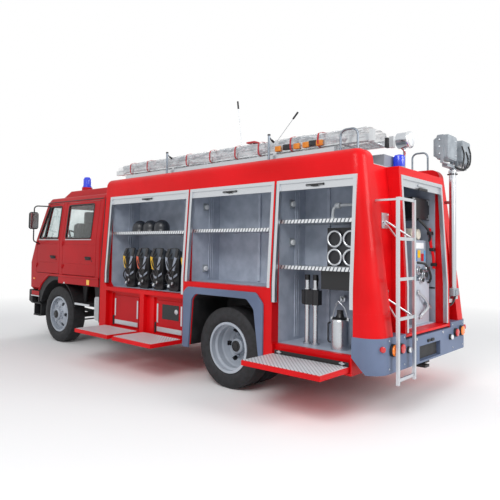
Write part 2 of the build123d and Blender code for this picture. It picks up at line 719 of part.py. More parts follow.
# Other stowed equipment, each resting on its floor or shelf
helmet_x = (rear_x + 2120, rear_x + 1860, rear_x + 1600)
rack_x = (rear_x - 1630, rear_x - 1230)
rack_plate_y = (860, 880)
ring_radius, ring_wire = 84, 15
tube_x = (rear_x - 985, rear_x - 1095)
jug_x = rear_x - 1415
with BuildPart() as stored_equipment:
    helmet_shelf = shelf_levels[0][1]
    for x in helmet_x:
        with BuildSketch(Plane.XZ) as half_section:
            with BuildLine():
                Line((0, helmet_shelf), (128, helmet_shelf))
                Polyline((128, helmet_shelf), (116, helmet_shelf + 40), (116, helmet_shelf + 68))
                CenterArc((0, helmet_shelf + 68), 116, 0, 90)
                Line((0, helmet_shelf + 184), (0, helmet_shelf))
            make_face()
        revolve(Pos(x, 900, 0) * half_section.sketch, axis=Axis((x, 900, 0), (0, 0, 1)))
    rear_floor = compartments[2][3]
    rack_shelf = shelf_levels[3][1]
    # Rack of four rings on an upright plate, and the dark box hung under its shelf
    slab(rack_x, rack_plate_y, (rack_shelf, rack_shelf + 430))
    slab(rack_x, (rack_plate_y[0] - 160, rack_plate_y[1] + 40), (rack_shelf, rack_shelf + 12))
    for column in (0.25, 0.75):
        for row in (110, 310):
            with Locations(Location((rack_x[0] + column * (rack_x[1] - rack_x[0]), rack_plate_y[1] + ring_wire - 2,
                                     rack_shelf + row), (90, 0, 0))):
                Torus(ring_radius, ring_wire)
    box_top = rack_shelf - shelf_thickness
    slab((rack_x[0] - 20, rack_x[1]), (640, 1000), (box_top - 200, box_top))
    # Two hydraulic rams with their clamp block
    for x in tube_x:
        rod((x, 900, rear_floor), (x, 900, rear_floor + 24), 46)
        rod((x, 900, rear_floor), (x, 900, rear_floor + 770), 30)
        rod((x, 900, rear_floor + 430), (x, 900, rear_floor + 620), 40)
    slab((tube_x[1] - 55, tube_x[0] + 55), (860, 935), (rear_floor + 440, rear_floor + 600))
    # Steel jug with a lid, a neck and a side handle
    with BuildSketch(Plane.XZ) as half_section:
        with BuildLine():
            Line((0, rear_floor), (98, rear_floor))
            Line((98, rear_floor), (98, rear_floor + 290))
            ThreePointArc((98, rear_floor + 290), (84, rear_floor + 322), (46, rear_floor + 338))
            Polyline((46, rear_floor + 338), (34, rear_floor + 372), (34, rear_floor + 410), (0, rear_floor + 410),
                     (0, rear_floor))
        make_face()
    revolve(Pos(jug_x, 910, 0) * half_section.sketch, axis=Axis((jug_x, 910, 0), (0, 0, 1)))
    bent_tube([(jug_x + 90, 910, rear_floor + 60), (jug_x + 150, 910, rear_floor + 60),
               (jug_x + 150, 910, rear_floor + 270), (jug_x + 90, 910, rear_floor + 270)], 9, 25)
    # Pump cabinet, its upper casing and the hose box inside the rear door
    bay_floor = rear_door_bottom
    slab((rear_bay_front - 900, rear_bay_front - 620), (-490, -60), (bay_floor, bay_floor + 500))
    slab((rear_bay_front - 860, rear_bay_front - 600), (-500, -90), (bay_floor + 500 + seam, bay_floor + 980))
    bay_wall = rear_door_half + frame_width - lining_wall - seam
    slab((rear_bay_front - 880, rear_bay_front - 580), (-bay_wall, -60), (bay_floor + 1230, bay_floor + 1480))
keep(stored_equipment.part, "stored_equipment")

# Chassis frame: two channel rails, cross members, cab rest, tilt ears with pins and towing jaw
rail_outer = rail_centre + rail_flange / 2
rail_inner = rail_centre - rail_flange / 2
cross_members = (-1800, -700, 760, 1700, 2700, 5040)
cab_rest = (2960, 3040)
jaw_radius = 25
hanger_z = 548
jaw_gap = (418, 442)
ear_plates = ((rail_inner, rail_inner + 20), (rail_outer - 20, rail_outer))
ear_start = rail_front + seam
ear_outline = [(ear_start, 640), (ear_start + 55, 640), (tilt_pivot[0] + 24, tilt_pivot[1] - 20),
               (tilt_pivot[0], tilt_pivot[1]), (ear_start, rail_top)]
with BuildPart() as chassis_frame:
    for side in (1, -1):
        web = sorted((side * (rail_outer - rail_web), side * rail_outer))
        flange = sorted((side * rail_inner, side * rail_outer))
        slab((rail_back, rail_front), web, (rail_bottom, rail_top))
        for z in (rail_bottom, rail_top - rail_web):
            slab((rail_back, rail_front), flange, (z, z + rail_web))
        slab((rear_x + cab_rest[0], rear_x + cab_rest[1]), flange, (rail_top + seam, cab_floor_bottom - 0.3))
        slab((bumper_back + bumper_wall, rail_back - seam), flange, (rail_bottom, rail_top - 40))
        for x in (front_x - 700, front_x + 700):
            slab((x - 22, x + 22), sorted((side * (rail_inner + 15), side * (rail_outer - 15))),
                 (hanger_z, rail_bottom - seam))
        for x in (rear_x - 780, rear_x + 780):
            slab((x - 22, x + 22), sorted((side * (rail_outer + seam), side * 535)), (585, 680))
        for ear in ear_plates:
            reach = sorted((side * ear[0], side * ear[1]))
            side_prism(ear_outline, reach)
            rod((tilt_pivot[0], reach[0], tilt_pivot[1]), (tilt_pivot[0], reach[1], tilt_pivot[1]),
                tilt_lug_radius)
        rod((tilt_pivot[0], side * rail_inner, tilt_pivot[1]), (tilt_pivot[0], side * rail_outer, tilt_pivot[1]),
            tilt_pin_radius)
    for x in cross_members:
        reach = rail_outer - rail_web - seam
        slab((rear_x + x - 30, rear_x + x + 30), (-reach, reach), (620, 760))
    jaw_x = rail_back - 75
    slab((jaw_x - 45, rail_back + 70), (-55, 55), (390, 470))
    slab((rail_back + 30, rail_back + 70), (-55, 55), (390, 620 - seam))
    slab((jaw_x - 50, jaw_x + 60), (-56, 56), jaw_gap, Mode.SUBTRACT)
    rod((jaw_x, 0, 380), (jaw_x, 0, 480), jaw_radius, Mode.SUBTRACT)
keep(chassis_frame.part, "chassis_frame")

# Front axle: dropped beam with its kingpins, and the two leaf springs
axle_z = tyre_radius
beam_half = 36
beam_top = 470
spring_shape = [
    (-722, hanger_z - seam), (-722, 520), (-330, 484), (0, beam_top + seam), (330, 484), (722, 520),
    (722, hanger_z - seam), (678, hanger_z - seam), (340, 528), (0, 514), (-340, 528), (-678, hanger_z - seam),
]
with BuildPart() as front_axle:
    cross_prism([(-745, 533), (-670, 533), (-540, beam_top), (540, beam_top), (670, 533), (745, 533),
                 (745, 433), (690, 433), (560, 390), (-560, 390), (-690, 433), (-745, 433)],
                (front_x - beam_half, front_x + beam_half))
    for side in (1, -1):
        y = side * kingpin_y
        rod((front_x, y, axle_z - axle_end_height / 2), (front_x, y, axle_z + axle_end_height / 2), knuckle_radius)
        reach = axle_end_height / 2 + 2 + knuckle_lug
        rod((front_x, y, axle_z - reach), (front_x, y, axle_z + reach), kingpin_radius)
        side_prism([(front_x + x, z) for x, z in spring_shape],
                   sorted((side * (rail_inner + 1), side * (rail_outer - 1))))
keep(front_axle.part, "front_axle")

# Rear axle: casing with differential, hub spindles, springs and propeller shaft
rear_spindle_radius = 45
rear_spring_y = (465, 534)
with BuildPart() as rear_axle:
    rod((rear_x, -440, axle_z), (rear_x, 440, axle_z), 75)
    rod((rear_x, -560, axle_z), (rear_x, 560, axle_z), 52)
    rod((rear_x, -985, axle_z), (rear_x, 985, axle_z), rear_spindle_radius)
    for side in (1, -1):
        rod((rear_x, side * 545, axle_z), (rear_x, side * 553, axle_z), 195)
        side_prism([(rear_x - 800, 585 - seam), (rear_x - 800, 560), (rear_x, 536), (rear_x + 800, 560),
                    (rear_x + 800, 585 - seam), (rear_x, 578)],
                   sorted((side * rear_spring_y[0], side * rear_spring_y[1])))
    turned([(-120, 0), (-120, 70), (-60, 165), (60, 165), (120, 70), (120, 0)], (rear_x, 0, axle_z))
    rod((rear_x + 100, 0, axle_z), (rear_x + 300, 0, axle_z + 6), 70)
    rod((rear_x + 302, 0, axle_z + 6), (rear_x + 2998, 0, 555), 42)
keep(rear_axle.part, "rear_axle")

# Engine and gearbox as one plain block, with four mounts in the rails
with BuildPart() as engine:
    slab((rear_x + 3420, rear_x + 4680), (-340, 340), (545, 1000))
    slab((rear_x + 3000, rear_x + 3420 - seam), (-170, 170), (500, 780))
    for x in (rear_x + 3600, rear_x + 4450):
        slab((x - 40, x + 40), (rail_web - rail_outer, rail_outer - rail_web), (640, 720))
keep(engine.part, "engine")

# Tank on the left rail and battery box on the right rail
box_x = (rear_x + 2800, rear_x + 3140)
with BuildPart() as fuel_tank:
    slab(box_x, (520, 1020), (480, 860))
    fillet(fuel_tank.edges().filter_by(Axis.Y), 45)
    for x in (box_x[0] + 60, box_x[1] - 100):
        slab((x, x + 40), (rail_outer, 521), (610, 770))
keep(fuel_tank.part, "fuel_tank")
with BuildPart() as battery_box:
    slab(box_x, (-1020, -520), (500, 850))
    slab((box_x[0] - 6, box_x[1] + 6), (-1024, -518), (790, 856))
    for x in (box_x[0] + 60, box_x[1] - 100):
        slab((x, x + 40), (-521, -rail_outer), (610, 770))
keep(battery_box.part, "battery_box")

# Front bumper: wraps back to the wheel arches, with lamp pockets and two step wells
front_bumper_x = (rear_x + 4845, front_x + front_overhang)
front_bumper_half = 1105
front_bumper_corner = 190
front_bumper_z = (600, 850)
front_bumper_wall = 55
well_x = (rear_x + 4880, rear_x + 5110)
well_low = 385
headlamp_y = (610, 930)
headlamp_z = (650, 780)
headlamp_depth = 35
with BuildPart() as front_bumper:
    with BuildSketch(Plane.XY.offset(front_bumper_z[0])) as plan:
        with Locations(((front_bumper_x[0] + front_bumper_x[1]) / 2, 0)):
            Rectangle(front_bumper_x[1] - front_bumper_x[0], 2 * front_bumper_half)
        fillet(plan.vertices().group_by(Axis.X)[-1], front_bumper_corner)
    extrude(amount=front_bumper_z[1] - front_bumper_z[0])
    chamfer(front_bumper.edges().group_by(Axis.Z)[0].group_by(Axis.X)[-1], 45)
    inside = front_bumper_half - front_bumper_wall
    with BuildSketch(Plane.XY.offset(front_bumper_z[0] - 1)) as hollow:
        with Locations(((front_bumper_x[0] + front_bumper_x[1]) / 2 - front_bumper_wall, 0)):
            Rectangle(front_bumper_x[1] - front_bumper_x[0], 2 * inside)
        fillet(hollow.vertices().group_by(Axis.X)[-1], front_bumper_corner - front_bumper_wall)
    extrude(amount=front_bumper_z[1] - front_bumper_z[0] + 2, mode=Mode.SUBTRACT)
    for side in (1, -1):
        # Two-tread step well behind the bumper's end
        outside = sorted((side * inside, side * (front_bumper_half + 5)))
        slab(well_x, outside, (front_bumper_z[0] - 1, 760), Mode.SUBTRACT)
        deep = sorted((side * 860, side * (inside + 1)))
        slab((well_x[0] - 20, well_x[0]), deep, (well_low, 780))
        slab((well_x[1], well_x[1] + 20), deep, (well_low, 780))
        slab((well_x[0] - 20, well_x[1] + 20), sorted((side * 845, side * 861)), (well_low, 780))
        for z in (well_low, front_bumper_z[0]):
            slab((well_x[0] - 1, well_x[1] + 1), sorted((side * 850, side * (inside + 20))), (z, z + 25))
        slab((front_bumper_x[1] - headlamp_depth, front_bumper_x[1] + 5),
             sorted((side * headlamp_y[0], side * headlamp_y[1])), headlamp_z, Mode.SUBTRACT)
        slab((rail_front + seam, front_bumper_x[1] - front_bumper_wall + 5), sorted((side * 400, side * 440)),
             (610, 640 - seam))
keep(front_bumper.part, "front_bumper")

# Headlamps in the bumper's pockets, each with a domed face
with BuildPart() as headlamps:
    for side in (1, -1):
        reach = sorted((side * (headlamp_y[0] + seam), side * (headlamp_y[1] - seam)))
        slab((front_bumper_x[1] - headlamp_depth, front_bumper_x[1] - 12), reach,
             (headlamp_z[0] + seam, headlamp_z[1] - seam))
    fillet(headlamps.edges().group_by(Axis.X)[-1], 8)
keep(headlamps.part, "headlamps")


def cab_form(inset):
    """Closed form of the cab, set in from the outer skin by a distance."""
    with BuildPart() as form:
        for level, front, half, radius in cab_sections:
            back = cab_back + inset
            fore = rear_x + front - inset
            with BuildSketch(Plane.XY.offset(level)) as section:
                with Locations(((back + fore) / 2, 0)):
                    Rectangle(fore - back, 2 * (half - inset))
                corners = section.vertices().group_by(Axis.X)
                fillet(corners[-1], radius - inset)
                fillet(section.vertices().group_by(Axis.X)[0], cab_rear_radius - inset + 2)
        loft(ruled=True)
        if inset == 0:
            fillet(form.edges().group_by(Axis.Z)[-1], cab_roof_fillet)
            chamfer(form.edges().group_by(Axis.Z)[0], nose_chamfer)
    return form.part


def cut_outline(points, grow, corner):
    """Rounded outline from a table of (x, z) points, made larger or smaller."""
    with BuildSketch(Plane.XZ.offset(0)) as outline:
        with BuildLine():
            Polyline(*[(rear_x + x, z) for x, z in points], close=True)
        make_face()
        offset(amount=grow, kind=Kind.INTERSECTION)
        fillet(outline.vertices(), corner)
    return outline.sketch


def side_cut(points, grow, corner, y, mode):
    """Passes a rounded side outline through the cab between two values of y."""
    flat = cut_outline(points, grow, corner)
    extrude(Pos(0, y[0], 0) * flat, amount=y[0] - y[1], mode=mode)


cab_outer = cab_form(0)
cab_inner = cab_form(cab_wall)
skin_depth = 20
left_wall = (900, 1160)
door_corner = 22
opening_corner = 24
window_corner = 38
vent_corner = 20
screen = [(-960, 1850), (960, 1850), (905, 2395), (-905, 2395)]
grille_half = 780
grille_z = (975, 1330)
beacon_x = rear_x + 3950
beacon_y = 720
beacon_base = 2732

# Cab shell: hollow crew cab with raised roof, door openings, windscreen opening and tilt lugs
with BuildPart() as cab_cavity:
    add(cab_inner)
    slab((cab_back, front_x + 1500), (-cab_half_width, cab_half_width), (cab_floor_top, 2500), Mode.INTERSECT)
with BuildPart() as cab_shell:
    add(cab_outer)
    for level, half, fore in ((2500, raised_roof[2] + 30, raised_roof[1]),
                              (raised_roof[3], raised_roof[2], raised_roof[1] - raised_roof_slope)):
        with BuildSketch(Plane.XY.offset(level)) as section:
            with Locations((rear_x + (raised_roof[0] + fore) / 2, 0)):
                Rectangle(fore - raised_roof[0], 2 * half)
            fillet(section.vertices(), 70)
    loft(ruled=True)
    fillet(cab_shell.edges().group_by(Axis.Z)[-1], 20)
    for side in (1, -1):
        rod((beacon_x, side * beacon_y, 2600), (beacon_x, side * beacon_y, beacon_base), 92)
    add(cab_cavity.part, mode=Mode.SUBTRACT)
    for wall in (left_wall, (-left_wall[1], -left_wall[0])):
        side_cut(front_door, door_gap, opening_corner, wall, Mode.SUBTRACT)
        side_cut(rear_door, door_gap, opening_corner, wall, Mode.SUBTRACT)
    side_prism([(rear_x + x, z) for x, z in ((2990, 2490), (4530, 2490), (4300, 2618), (2990, 2618))],
               (-790, 790), Mode.SUBTRACT)
    side_prism([(rear_x + x, z) for x, z in
                ((2800, 700), (2800, 1030), (4170, 1030), (4170, 1150), (4500, 1150), (4740, 1000),
                 (4845, 865), (4845, 700))], (-1200, 1200), Mode.SUBTRACT)
    slab((rear_x + 4870, rear_x + 5225), (-1045, 1045), (850, 1135), Mode.SUBTRACT)
    slab((rear_x + 4700, rear_x + 4871), (-1045, 1045), (1040, 1135), Mode.SUBTRACT)
    cross_prism(screen, (rear_x + 4650, front_x + front_overhang), Mode.SUBTRACT)
    slab((rear_x + 5272, rear_x + 5330), (-grille_half, grille_half), grille_z, Mode.SUBTRACT)
    for side in (1, -1):
        for x in hinge_x:
            for z in hinge_z:
                axis_point = (rear_x + x, side * hinge_y)
                rod((*axis_point, z), (*axis_point, z + 24), hinge_radius)
                rod((*axis_point, z), (*axis_point, z + 72), hinge_pin_radius)
                slab((rear_x + x, rear_x + x + hinge_leaf), sorted((side * (cab_half_width - 2), side * hinge_y)),
                     (z, z + 24))
        room = sorted((side * (rail_inner - 5), side * (rail_outer + 5)))
        rod((tilt_pivot[0], room[0], tilt_pivot[1]), (tilt_pivot[0], room[1], tilt_pivot[1]),
            tilt_lug_radius + 6, Mode.SUBTRACT)
        lug = sorted((side * (rail_centre - 12), side * (rail_centre + 12)))
        slab((tilt_pivot[0] - tilt_lug_radius, tilt_pivot[0] + 4), lug, (tilt_pivot[1], 1150))
        rod((tilt_pivot[0], lug[0], tilt_pivot[1]), (tilt_pivot[0], lug[1], tilt_pivot[1]), tilt_lug_radius)
        rod((tilt_pivot[0], lug[0] - 1, tilt_pivot[1]), (tilt_pivot[0], lug[1] + 1, tilt_pivot[1]),
            tilt_pin_radius + running_fit, Mode.SUBTRACT)
keep(cab_shell.part, "cab_shell")

# Windscreen, held in the middle of its opening
glass_outer = cab_form(8)
glass_inner = cab_form(8 + glass_thickness)
with BuildPart() as windscreen:
    add(glass_outer)
    add(glass_inner, mode=Mode.SUBTRACT)
    inset = glass_gap
    cross_prism([(y - inset * (1 if y > 0 else -1), z + inset * (1 if z < 2000 else -1)) for y, z in screen],
                (rear_x + 4650, front_x + front_overhang), Mode.INTERSECT)
keep(windscreen.part, "windscreen")

# Front grille with level bars
with BuildPart() as grille:
    slab((rear_x + 5272, rear_x + 5280), (-grille_half + 2, grille_half - 2), (grille_z[0] + 2, grille_z[1] - 2))
    for number in range(6):
        z = grille_z[0] + 20 + number * 58
        slab((rear_x + 5279, rear_x + 5300), (-grille_half + 6, grille_half - 6), (z, z + 22))
    for side in (1, -1):
        ends = sorted((side * (grille_half - 30), side * (grille_half - 2)))
        slab((rear_x + 5279, rear_x + 5303), ends, (grille_z[0] + 2, grille_z[1] - 2))
keep(grille.part, "grille")

# Blue beacons on the raised roof
with BuildPart() as cab_beacons:
    for side in (1, -1):
        with BuildSketch(Plane.XZ) as half_section:
            with BuildLine():
                Polyline((0, beacon_base), (80, beacon_base), (80, beacon_base + 25), (72, beacon_base + 32),
                         (70, beacon_base + 150), (52, beacon_base + 182), (0, beacon_base + 190), close=True)
            make_face()
        revolve(Pos(beacon_x, side * beacon_y, 0) * half_section.sketch,
                axis=Axis((beacon_x, side * beacon_y, 0), (0, 0, 1)))
keep(cab_beacons.part, "cab_beacons")

# Cab interior: engine hump, seats, dashboard and steering wheel
dash = [(rear_x + x, z) for x, z in
        ((4700, 1450), (4700, 1600), (4800, 1740), (5030, 1740), (5090, 1600), (5090, 1450))]
with BuildPart() as cab_interior:
    with Locations(Location((rear_x + 4570, 650, 1790), (0, -62, 0))):
        Torus(205, 15)
        Box(380, 34, 14)
        Box(34, 380, 14)
    rod((rear_x + 4570, 650, 1790), (rear_x + 4810, 650, 1600), 26)
    side_prism([(x - 0.3, z) for x, z in dash], (-960, 960), Mode.SUBTRACT)
    side_prism(dash, (-960, 960))
    slab((rear_x + 5030, rear_x + 5090), (-960, 960), (cab_floor_top, 1450 - seam))
    slab((rear_x + 3600, rear_x + 4690), (-300, 300), (cab_floor_top, 1480))
    for side in (1, -1):
        seat = sorted((side * 400, side * 900))
        slab((rear_x + 3960, rear_x + 4420), seat, (cab_floor_top, 1570))
        side_prism([(rear_x + 3860, 2080), (rear_x + 3960, 2080), (rear_x + 4065, 1570.3), (rear_x + 3945, 1570.3)],
                   seat)
        side_prism([(rear_x + 3848, 2280), (rear_x + 3928, 2280), (rear_x + 3950, 2080.3), (rear_x + 3870, 2080.3)],
                   sorted((side * 540, side * 760)))
    slab((rear_x + 2960, rear_x + 3420), (-940, 940), (cab_floor_top, 1590))
    slab((rear_x + 2940, rear_x + 3060), (-940, 940), (1590.3, 2120))
keep(cab_interior.part, "cab_interior")

# Front mudguards with their liners, and the steps under the rear doors with their brackets
guard_y = (1072, 1096)
liner_y = (500, 1094)
guard_low = 660
step_plate = ((rear_x + 3180, rear_x + 3630), (840, 1085), (700, 728))
with BuildPart() as cab_mudguards:
    side_prism([(rear_x + x, z) for x, z in
                ((4170.3, 1029), (4170.3, 1149.7), (4499.8, 1149.7), (4739.8, 999.7), (4844.7, 864.6),
                 (4844.7, guard_low), (4500, guard_low))], guard_y)
    with BuildSketch(Plane.XZ) as ring:
        with Locations((front_x, axle_z)):
            Circle(cab_arch_radius + 12)
            Circle(cab_arch_radius, mode=Mode.SUBTRACT)
    extrude(Pos(0, liner_y[1], 0) * ring.sketch, amount=liner_y[1] - liner_y[0])
    slab((front_x - 700, front_x + 700), (0, 1200), (-200, guard_low), Mode.SUBTRACT)
    slab((front_x - 700, rear_x + 4170.3), (0, 1200), (cab_floor_bottom - 0.3, 1200), Mode.SUBTRACT)
    rod((front_x, 0, axle_z), (front_x, 1200, axle_z), cab_arch_radius, Mode.SUBTRACT)
    slab(*step_plate)
    for x in (step_plate[0][0] + 20, step_plate[0][1] - 60):
        side_prism([(x - 60, cab_floor_bottom - 0.3), (x, step_plate[2][1] + seam),
                    (x + 40, step_plate[2][1] + seam), (x + 100, cab_floor_bottom - 0.3)], (900, 925))
    mirror(about=Plane.XZ)
keep(cab_mudguards.part, "cab_mudguards")

# Doors: a leaf cut from the side wall, thinner towards its edge inside, with its window cut out
skin_inner = cab_form(skin_depth)


def door_leaf(outline, panes, corners, axis_x):
    """Left-hand door leaf with its window openings and hinge barrels."""
    with BuildPart() as rebate:
        add(skin_inner)
        side_cut(outline, -10, door_corner, left_wall, Mode.SUBTRACT)
    with BuildPart() as leaf:
        add(cab_outer)
        add(cab_inner, mode=Mode.SUBTRACT)
        side_cut(outline, 0, door_corner, left_wall, Mode.INTERSECT)
        add(rebate.part, mode=Mode.SUBTRACT)
        for pane, corner in zip(panes, corners):
            side_cut(pane, 0, corner, left_wall, Mode.SUBTRACT)
        for z in hinge_z:
            low, high = z + 24.3, z + 72
            slab((rear_x + axis_x - hinge_leaf, rear_x + axis_x), (cab_half_width - 2, hinge_y), (low, high))
            rod((rear_x + axis_x, hinge_y, low), (rear_x + axis_x, hinge_y, high), hinge_radius)
            rod((rear_x + axis_x, hinge_y, low - 1), (rear_x + axis_x, hinge_y, high + 1),
                hinge_pin_radius + running_fit, Mode.SUBTRACT)
    return leaf.part


def door_pane(pane, corner):
    """One left-hand pane of door glass."""
    with BuildPart() as glass:
        add(glass_outer)
        add(glass_inner, mode=Mode.SUBTRACT)
        side_cut(pane, -glass_gap, corner - glass_gap, left_wall, Mode.INTERSECT)
    return glass.part


leaf_front = door_leaf(front_door, front_panes, (window_corner, vent_corner), hinge_x[0])
leaf_rear = door_leaf(rear_door, [rear_window], (window_corner,), hinge_x[1])
panes_front = [door_pane(front_panes[0], window_corner), door_pane(front_panes[1], vent_corner)]
pane_rear = door_pane(rear_window, window_corner)
with BuildPart() as door_fl:
    add(leaf_front)
keep(door_fl.part, "door_fl")
with BuildPart() as door_rl:
    add(leaf_rear)
keep(door_rl.part, "door_rl")
with BuildPart() as glass_fl:
    for pane in panes_front:
        add(pane)
keep(glass_fl.part, "glass_fl")
with BuildPart() as glass_rl:
    add(pane_rear)
keep(glass_rl.part, "glass_rl")
with BuildPart() as door_fr:
    mirror(leaf_front, about=Plane.XZ)
keep(door_fr.part, "door_fr")
with BuildPart() as door_rr:
    mirror(leaf_rear, about=Plane.XZ)
keep(door_rr.part, "door_rr")
with BuildPart() as glass_fr:
    mirror(glass_fl.part, about=Plane.XZ)
keep(glass_fr.part, "glass_fr")
with BuildPart() as glass_rr:
    mirror(pane_rear, about=Plane.XZ)
keep(glass_rr.part, "glass_rr")

# Outside mirrors on bent tubes from the front doors
mirror_x = rear_x + 4825
mirror_centre = (mirror_x, 1270, 2135)
with BuildPart() as mirror_head:
    with Locations(mirror_centre):
        Box(60, 168, 312)
    fillet(mirror_head.edges().filter_by(Axis.X), 45)
    fillet(mirror_head.edges().group_by(Axis.X)[0], 12)
    fillet(mirror_head.edges().group_by(Axis.X)[-1], 20)
with BuildPart() as mirror_l:
    bent_tube([(rear_x + 4690, 1022, 2404), (mirror_x, 1262, 2404), (mirror_x, 1262, 1765),
               (rear_x + 4935, 1060, 1700)], 11, 60)
    add(mirror_head.part)
    add(leaf_front, mode=Mode.SUBTRACT)
    add(cab_inner, mode=Mode.SUBTRACT)
    add(glass_fl.part, mode=Mode.SUBTRACT)
keep(mirror_l.part, "mirror_l")
with BuildPart() as mirror_r:
    mirror(mirror_l.part, about=Plane.XZ)
keep(mirror_r.part, "mirror_r")

# Steering knuckles: lugs round the kingpin, spindle, backing plate and steering arm
lug_start = axle_end_height / 2 + 2
with BuildPart() as knuckle_l:
    for low, high in ((lug_start, lug_start + knuckle_lug), (-lug_start - knuckle_lug, -lug_start)):
        rod((front_x, kingpin_y, axle_z + low), (front_x, kingpin_y, axle_z + high), knuckle_radius)
        slab((front_x - 40, front_x + 40), (kingpin_y + 10, 815), (axle_z + low, axle_z + high))
    slab((front_x - 55, front_x + 55), (kingpin_y + knuckle_radius + steer_clearance, 815),
         (axle_z - lug_start - knuckle_lug, axle_z + lug_start + knuckle_lug))
    rod((front_x, 800, axle_z), (front_x, 1045, axle_z), spindle_radius)
    rod((front_x, 812, axle_z), (front_x, 820, axle_z), 200)
    arm_top = axle_z - lug_start
    slab((front_x - arm_length, front_x), (kingpin_y - 20, kingpin_y + 20), (arm_top - 26, arm_top))
    rod((front_x - arm_length, kingpin_y, arm_top - 26), (front_x - arm_length, kingpin_y, arm_top), 24)
    rod((front_x - arm_length, kingpin_y, axle_z - arm_drop - 18),
        (front_x - arm_length, kingpin_y, arm_top), ball_pin_radius)
    rod((front_x, kingpin_y, axle_z - 120), (front_x, kingpin_y, axle_z + 120),
        kingpin_radius + running_fit, Mode.SUBTRACT)
keep(knuckle_l.part, "knuckle_l")
with BuildPart() as knuckle_r:
    mirror(knuckle_l.part, about=Plane.XZ)
keep(knuckle_r.part, "knuckle_r")

# Tie rod behind the axle, with an eye round each ball pin
eye_z = (axle_z - arm_drop - 14, axle_z - arm_drop + 14)
with BuildPart() as tie_rod:
    eye_x = front_x - arm_length
    rod((eye_x, -kingpin_y, axle_z - arm_drop), (eye_x, kingpin_y, axle_z - arm_drop), 13)
    for side in (1, -1):
        rod((eye_x, side * kingpin_y, eye_z[0]), (eye_x, side * kingpin_y, eye_z[1]), 25)
    for side, fit in ((1, running_fit), (-1, ball_fit)):
        rod((eye_x, side * kingpin_y, eye_z[0] - 1), (eye_x, side * kingpin_y, eye_z[1] + 1),
            ball_pin_radius + fit, Mode.SUBTRACT)
keep(tie_rod.part, "tie_rod")


def tyre_ring(x, centre_y):
    """Adds one tyre: beads, bulged side walls and a flat tread."""
    bead = rim_half_width - 0.3
    with BuildSketch(Plane((x, centre_y, axle_z), x_dir=(0, 1, 0), z_dir=(1, 0, 0))) as section:
        with BuildLine():
            Line((-bead, rim_flange_radius + 1), (-bead, rim_seat_radius + 0.3))
            Line((-bead, rim_seat_radius + 0.3), (bead, rim_seat_radius + 0.3))
            Line((bead, rim_seat_radius + 0.3), (bead, rim_flange_radius + 1))
            ThreePointArc((bead, rim_flange_radius + 1), (131, 340), (tyre_half_width, 385))
            ThreePointArc((tyre_half_width, 385), (134, 430), (118, 466))
            ThreePointArc((118, 466), (113, 477), (102, tyre_radius))
            Line((102, tyre_radius), (-102, tyre_radius))
            ThreePointArc((-102, tyre_radius), (-113, 477), (-118, 466))
            ThreePointArc((-118, 466), (-134, 430), (-tyre_half_width, 385))
            ThreePointArc((-tyre_half_width, 385), (-131, 340), (-bead, rim_flange_radius + 1))
        make_face()
    revolve(section.sketch, axis=Axis((x, centre_y, axle_z), (0, 1, 0)))


def rim_barrel(x, centre_y, face):
    """Adds one wheel barrel with its flanges; face is 1 when the deep side faces +Y."""
    half = rim_half_width
    seat = rim_seat_radius
    outline = [
        (-half - flange_width, rim_flange_radius), (-half, rim_flange_radius), (-half, seat), (-50, seat),
        (-32, seat - 24), (40, seat - 24), (58, seat), (half, seat), (half, rim_flange_radius),
        (half + flange_width, rim_flange_radius), (half + flange_width, seat - rim_wall),
        (62, seat - rim_wall), (44, seat - 24 - rim_wall), (-36, seat - 24 - rim_wall),
        (-54, seat - rim_wall), (-half - flange_width, seat - rim_wall),
    ]
    turned([(face * y, r) for y, r in outline], (x, centre_y, axle_z))


def hand_holes(x, y):
    """Cuts the ring of hand holes through a wheel disc between two values of y."""
    for number in range(hand_hole_count):
        spot = Vector(hand_hole_circle / 2, 0, 0).rotate(Axis.Y, number * 360 / hand_hole_count)
        rod((x + spot.X, y[0], axle_z + spot.Z), (x + spot.X, y[1], axle_z + spot.Z), hand_hole_radius,
            Mode.SUBTRACT)


stud_face = 115
with BuildPart() as rim_fl:
    centre = (front_x, front_track_half, axle_z)
    rim_barrel(front_x, front_track_half, 1)
    turned([(58, 262), (72, 246), (99, 205), (stud_face, 172), (stud_face, 60), (stud_face - 12, 60),
            (stud_face - 12, 166), (88, 198), (60, 240), (40, 255)], centre)
    turned([(-100, spindle_radius + running_fit), (-100, hub_radius), (150, hub_radius), (166, 72), (166, 0),
            (120, 0), (120, spindle_radius + running_fit)], centre)
    turned([(-104, 205), (-104, 215), (-16, 215), (-16, 80), (-28, 80), (-28, 205)], centre)
    hand_holes(front_x, (front_track_half + 70, front_track_half + 140))
keep(rim_fl.part, "rim_fl")
with BuildPart() as rim_fr:
    mirror(rim_fl.part, about=Plane.XZ)
keep(rim_fr.part, "rim_fr")

# Rear wheels: twin rims bolted face to face on one hub, with the brake drum inboard
disc_gap = twin_spacing / 2
with BuildPart() as rim_rl:
    for centre_y, face in ((rear_outer_half, -1), (rear_outer_half - twin_spacing, 1)):
        rim_barrel(rear_x, centre_y, face)
        dish = [(58, 262), (72, 246), (138, 212), (disc_gap, 172), (disc_gap, 60), (disc_gap - 12, 60),
                (disc_gap - 12, 166), (128, 204), (60, 238), (40, 255)]
        turned([(face * y, r) for y, r in dish], (rear_x, centre_y, axle_z))
    hub_y = rear_outer_half - disc_gap
    turned([(-230, rear_spindle_radius + running_fit), (-230, hub_radius), (118, hub_radius), (135, 75), (135, 0),
            (122, 0), (122, rear_spindle_radius + running_fit)], (rear_x, hub_y, axle_z))
    turned([(-236, 205), (-236, 216), (-70, 216), (-70, 80), (-82, 80), (-82, 205)], (rear_x, hub_y, axle_z))
    hand_holes(rear_x, (hub_y - 60, hub_y + 60))
keep(rim_rl.part, "rim_rl")
with BuildPart() as rim_rr:
    mirror(rim_rl.part, about=Plane.XZ)
keep(rim_rr.part, "rim_rr")

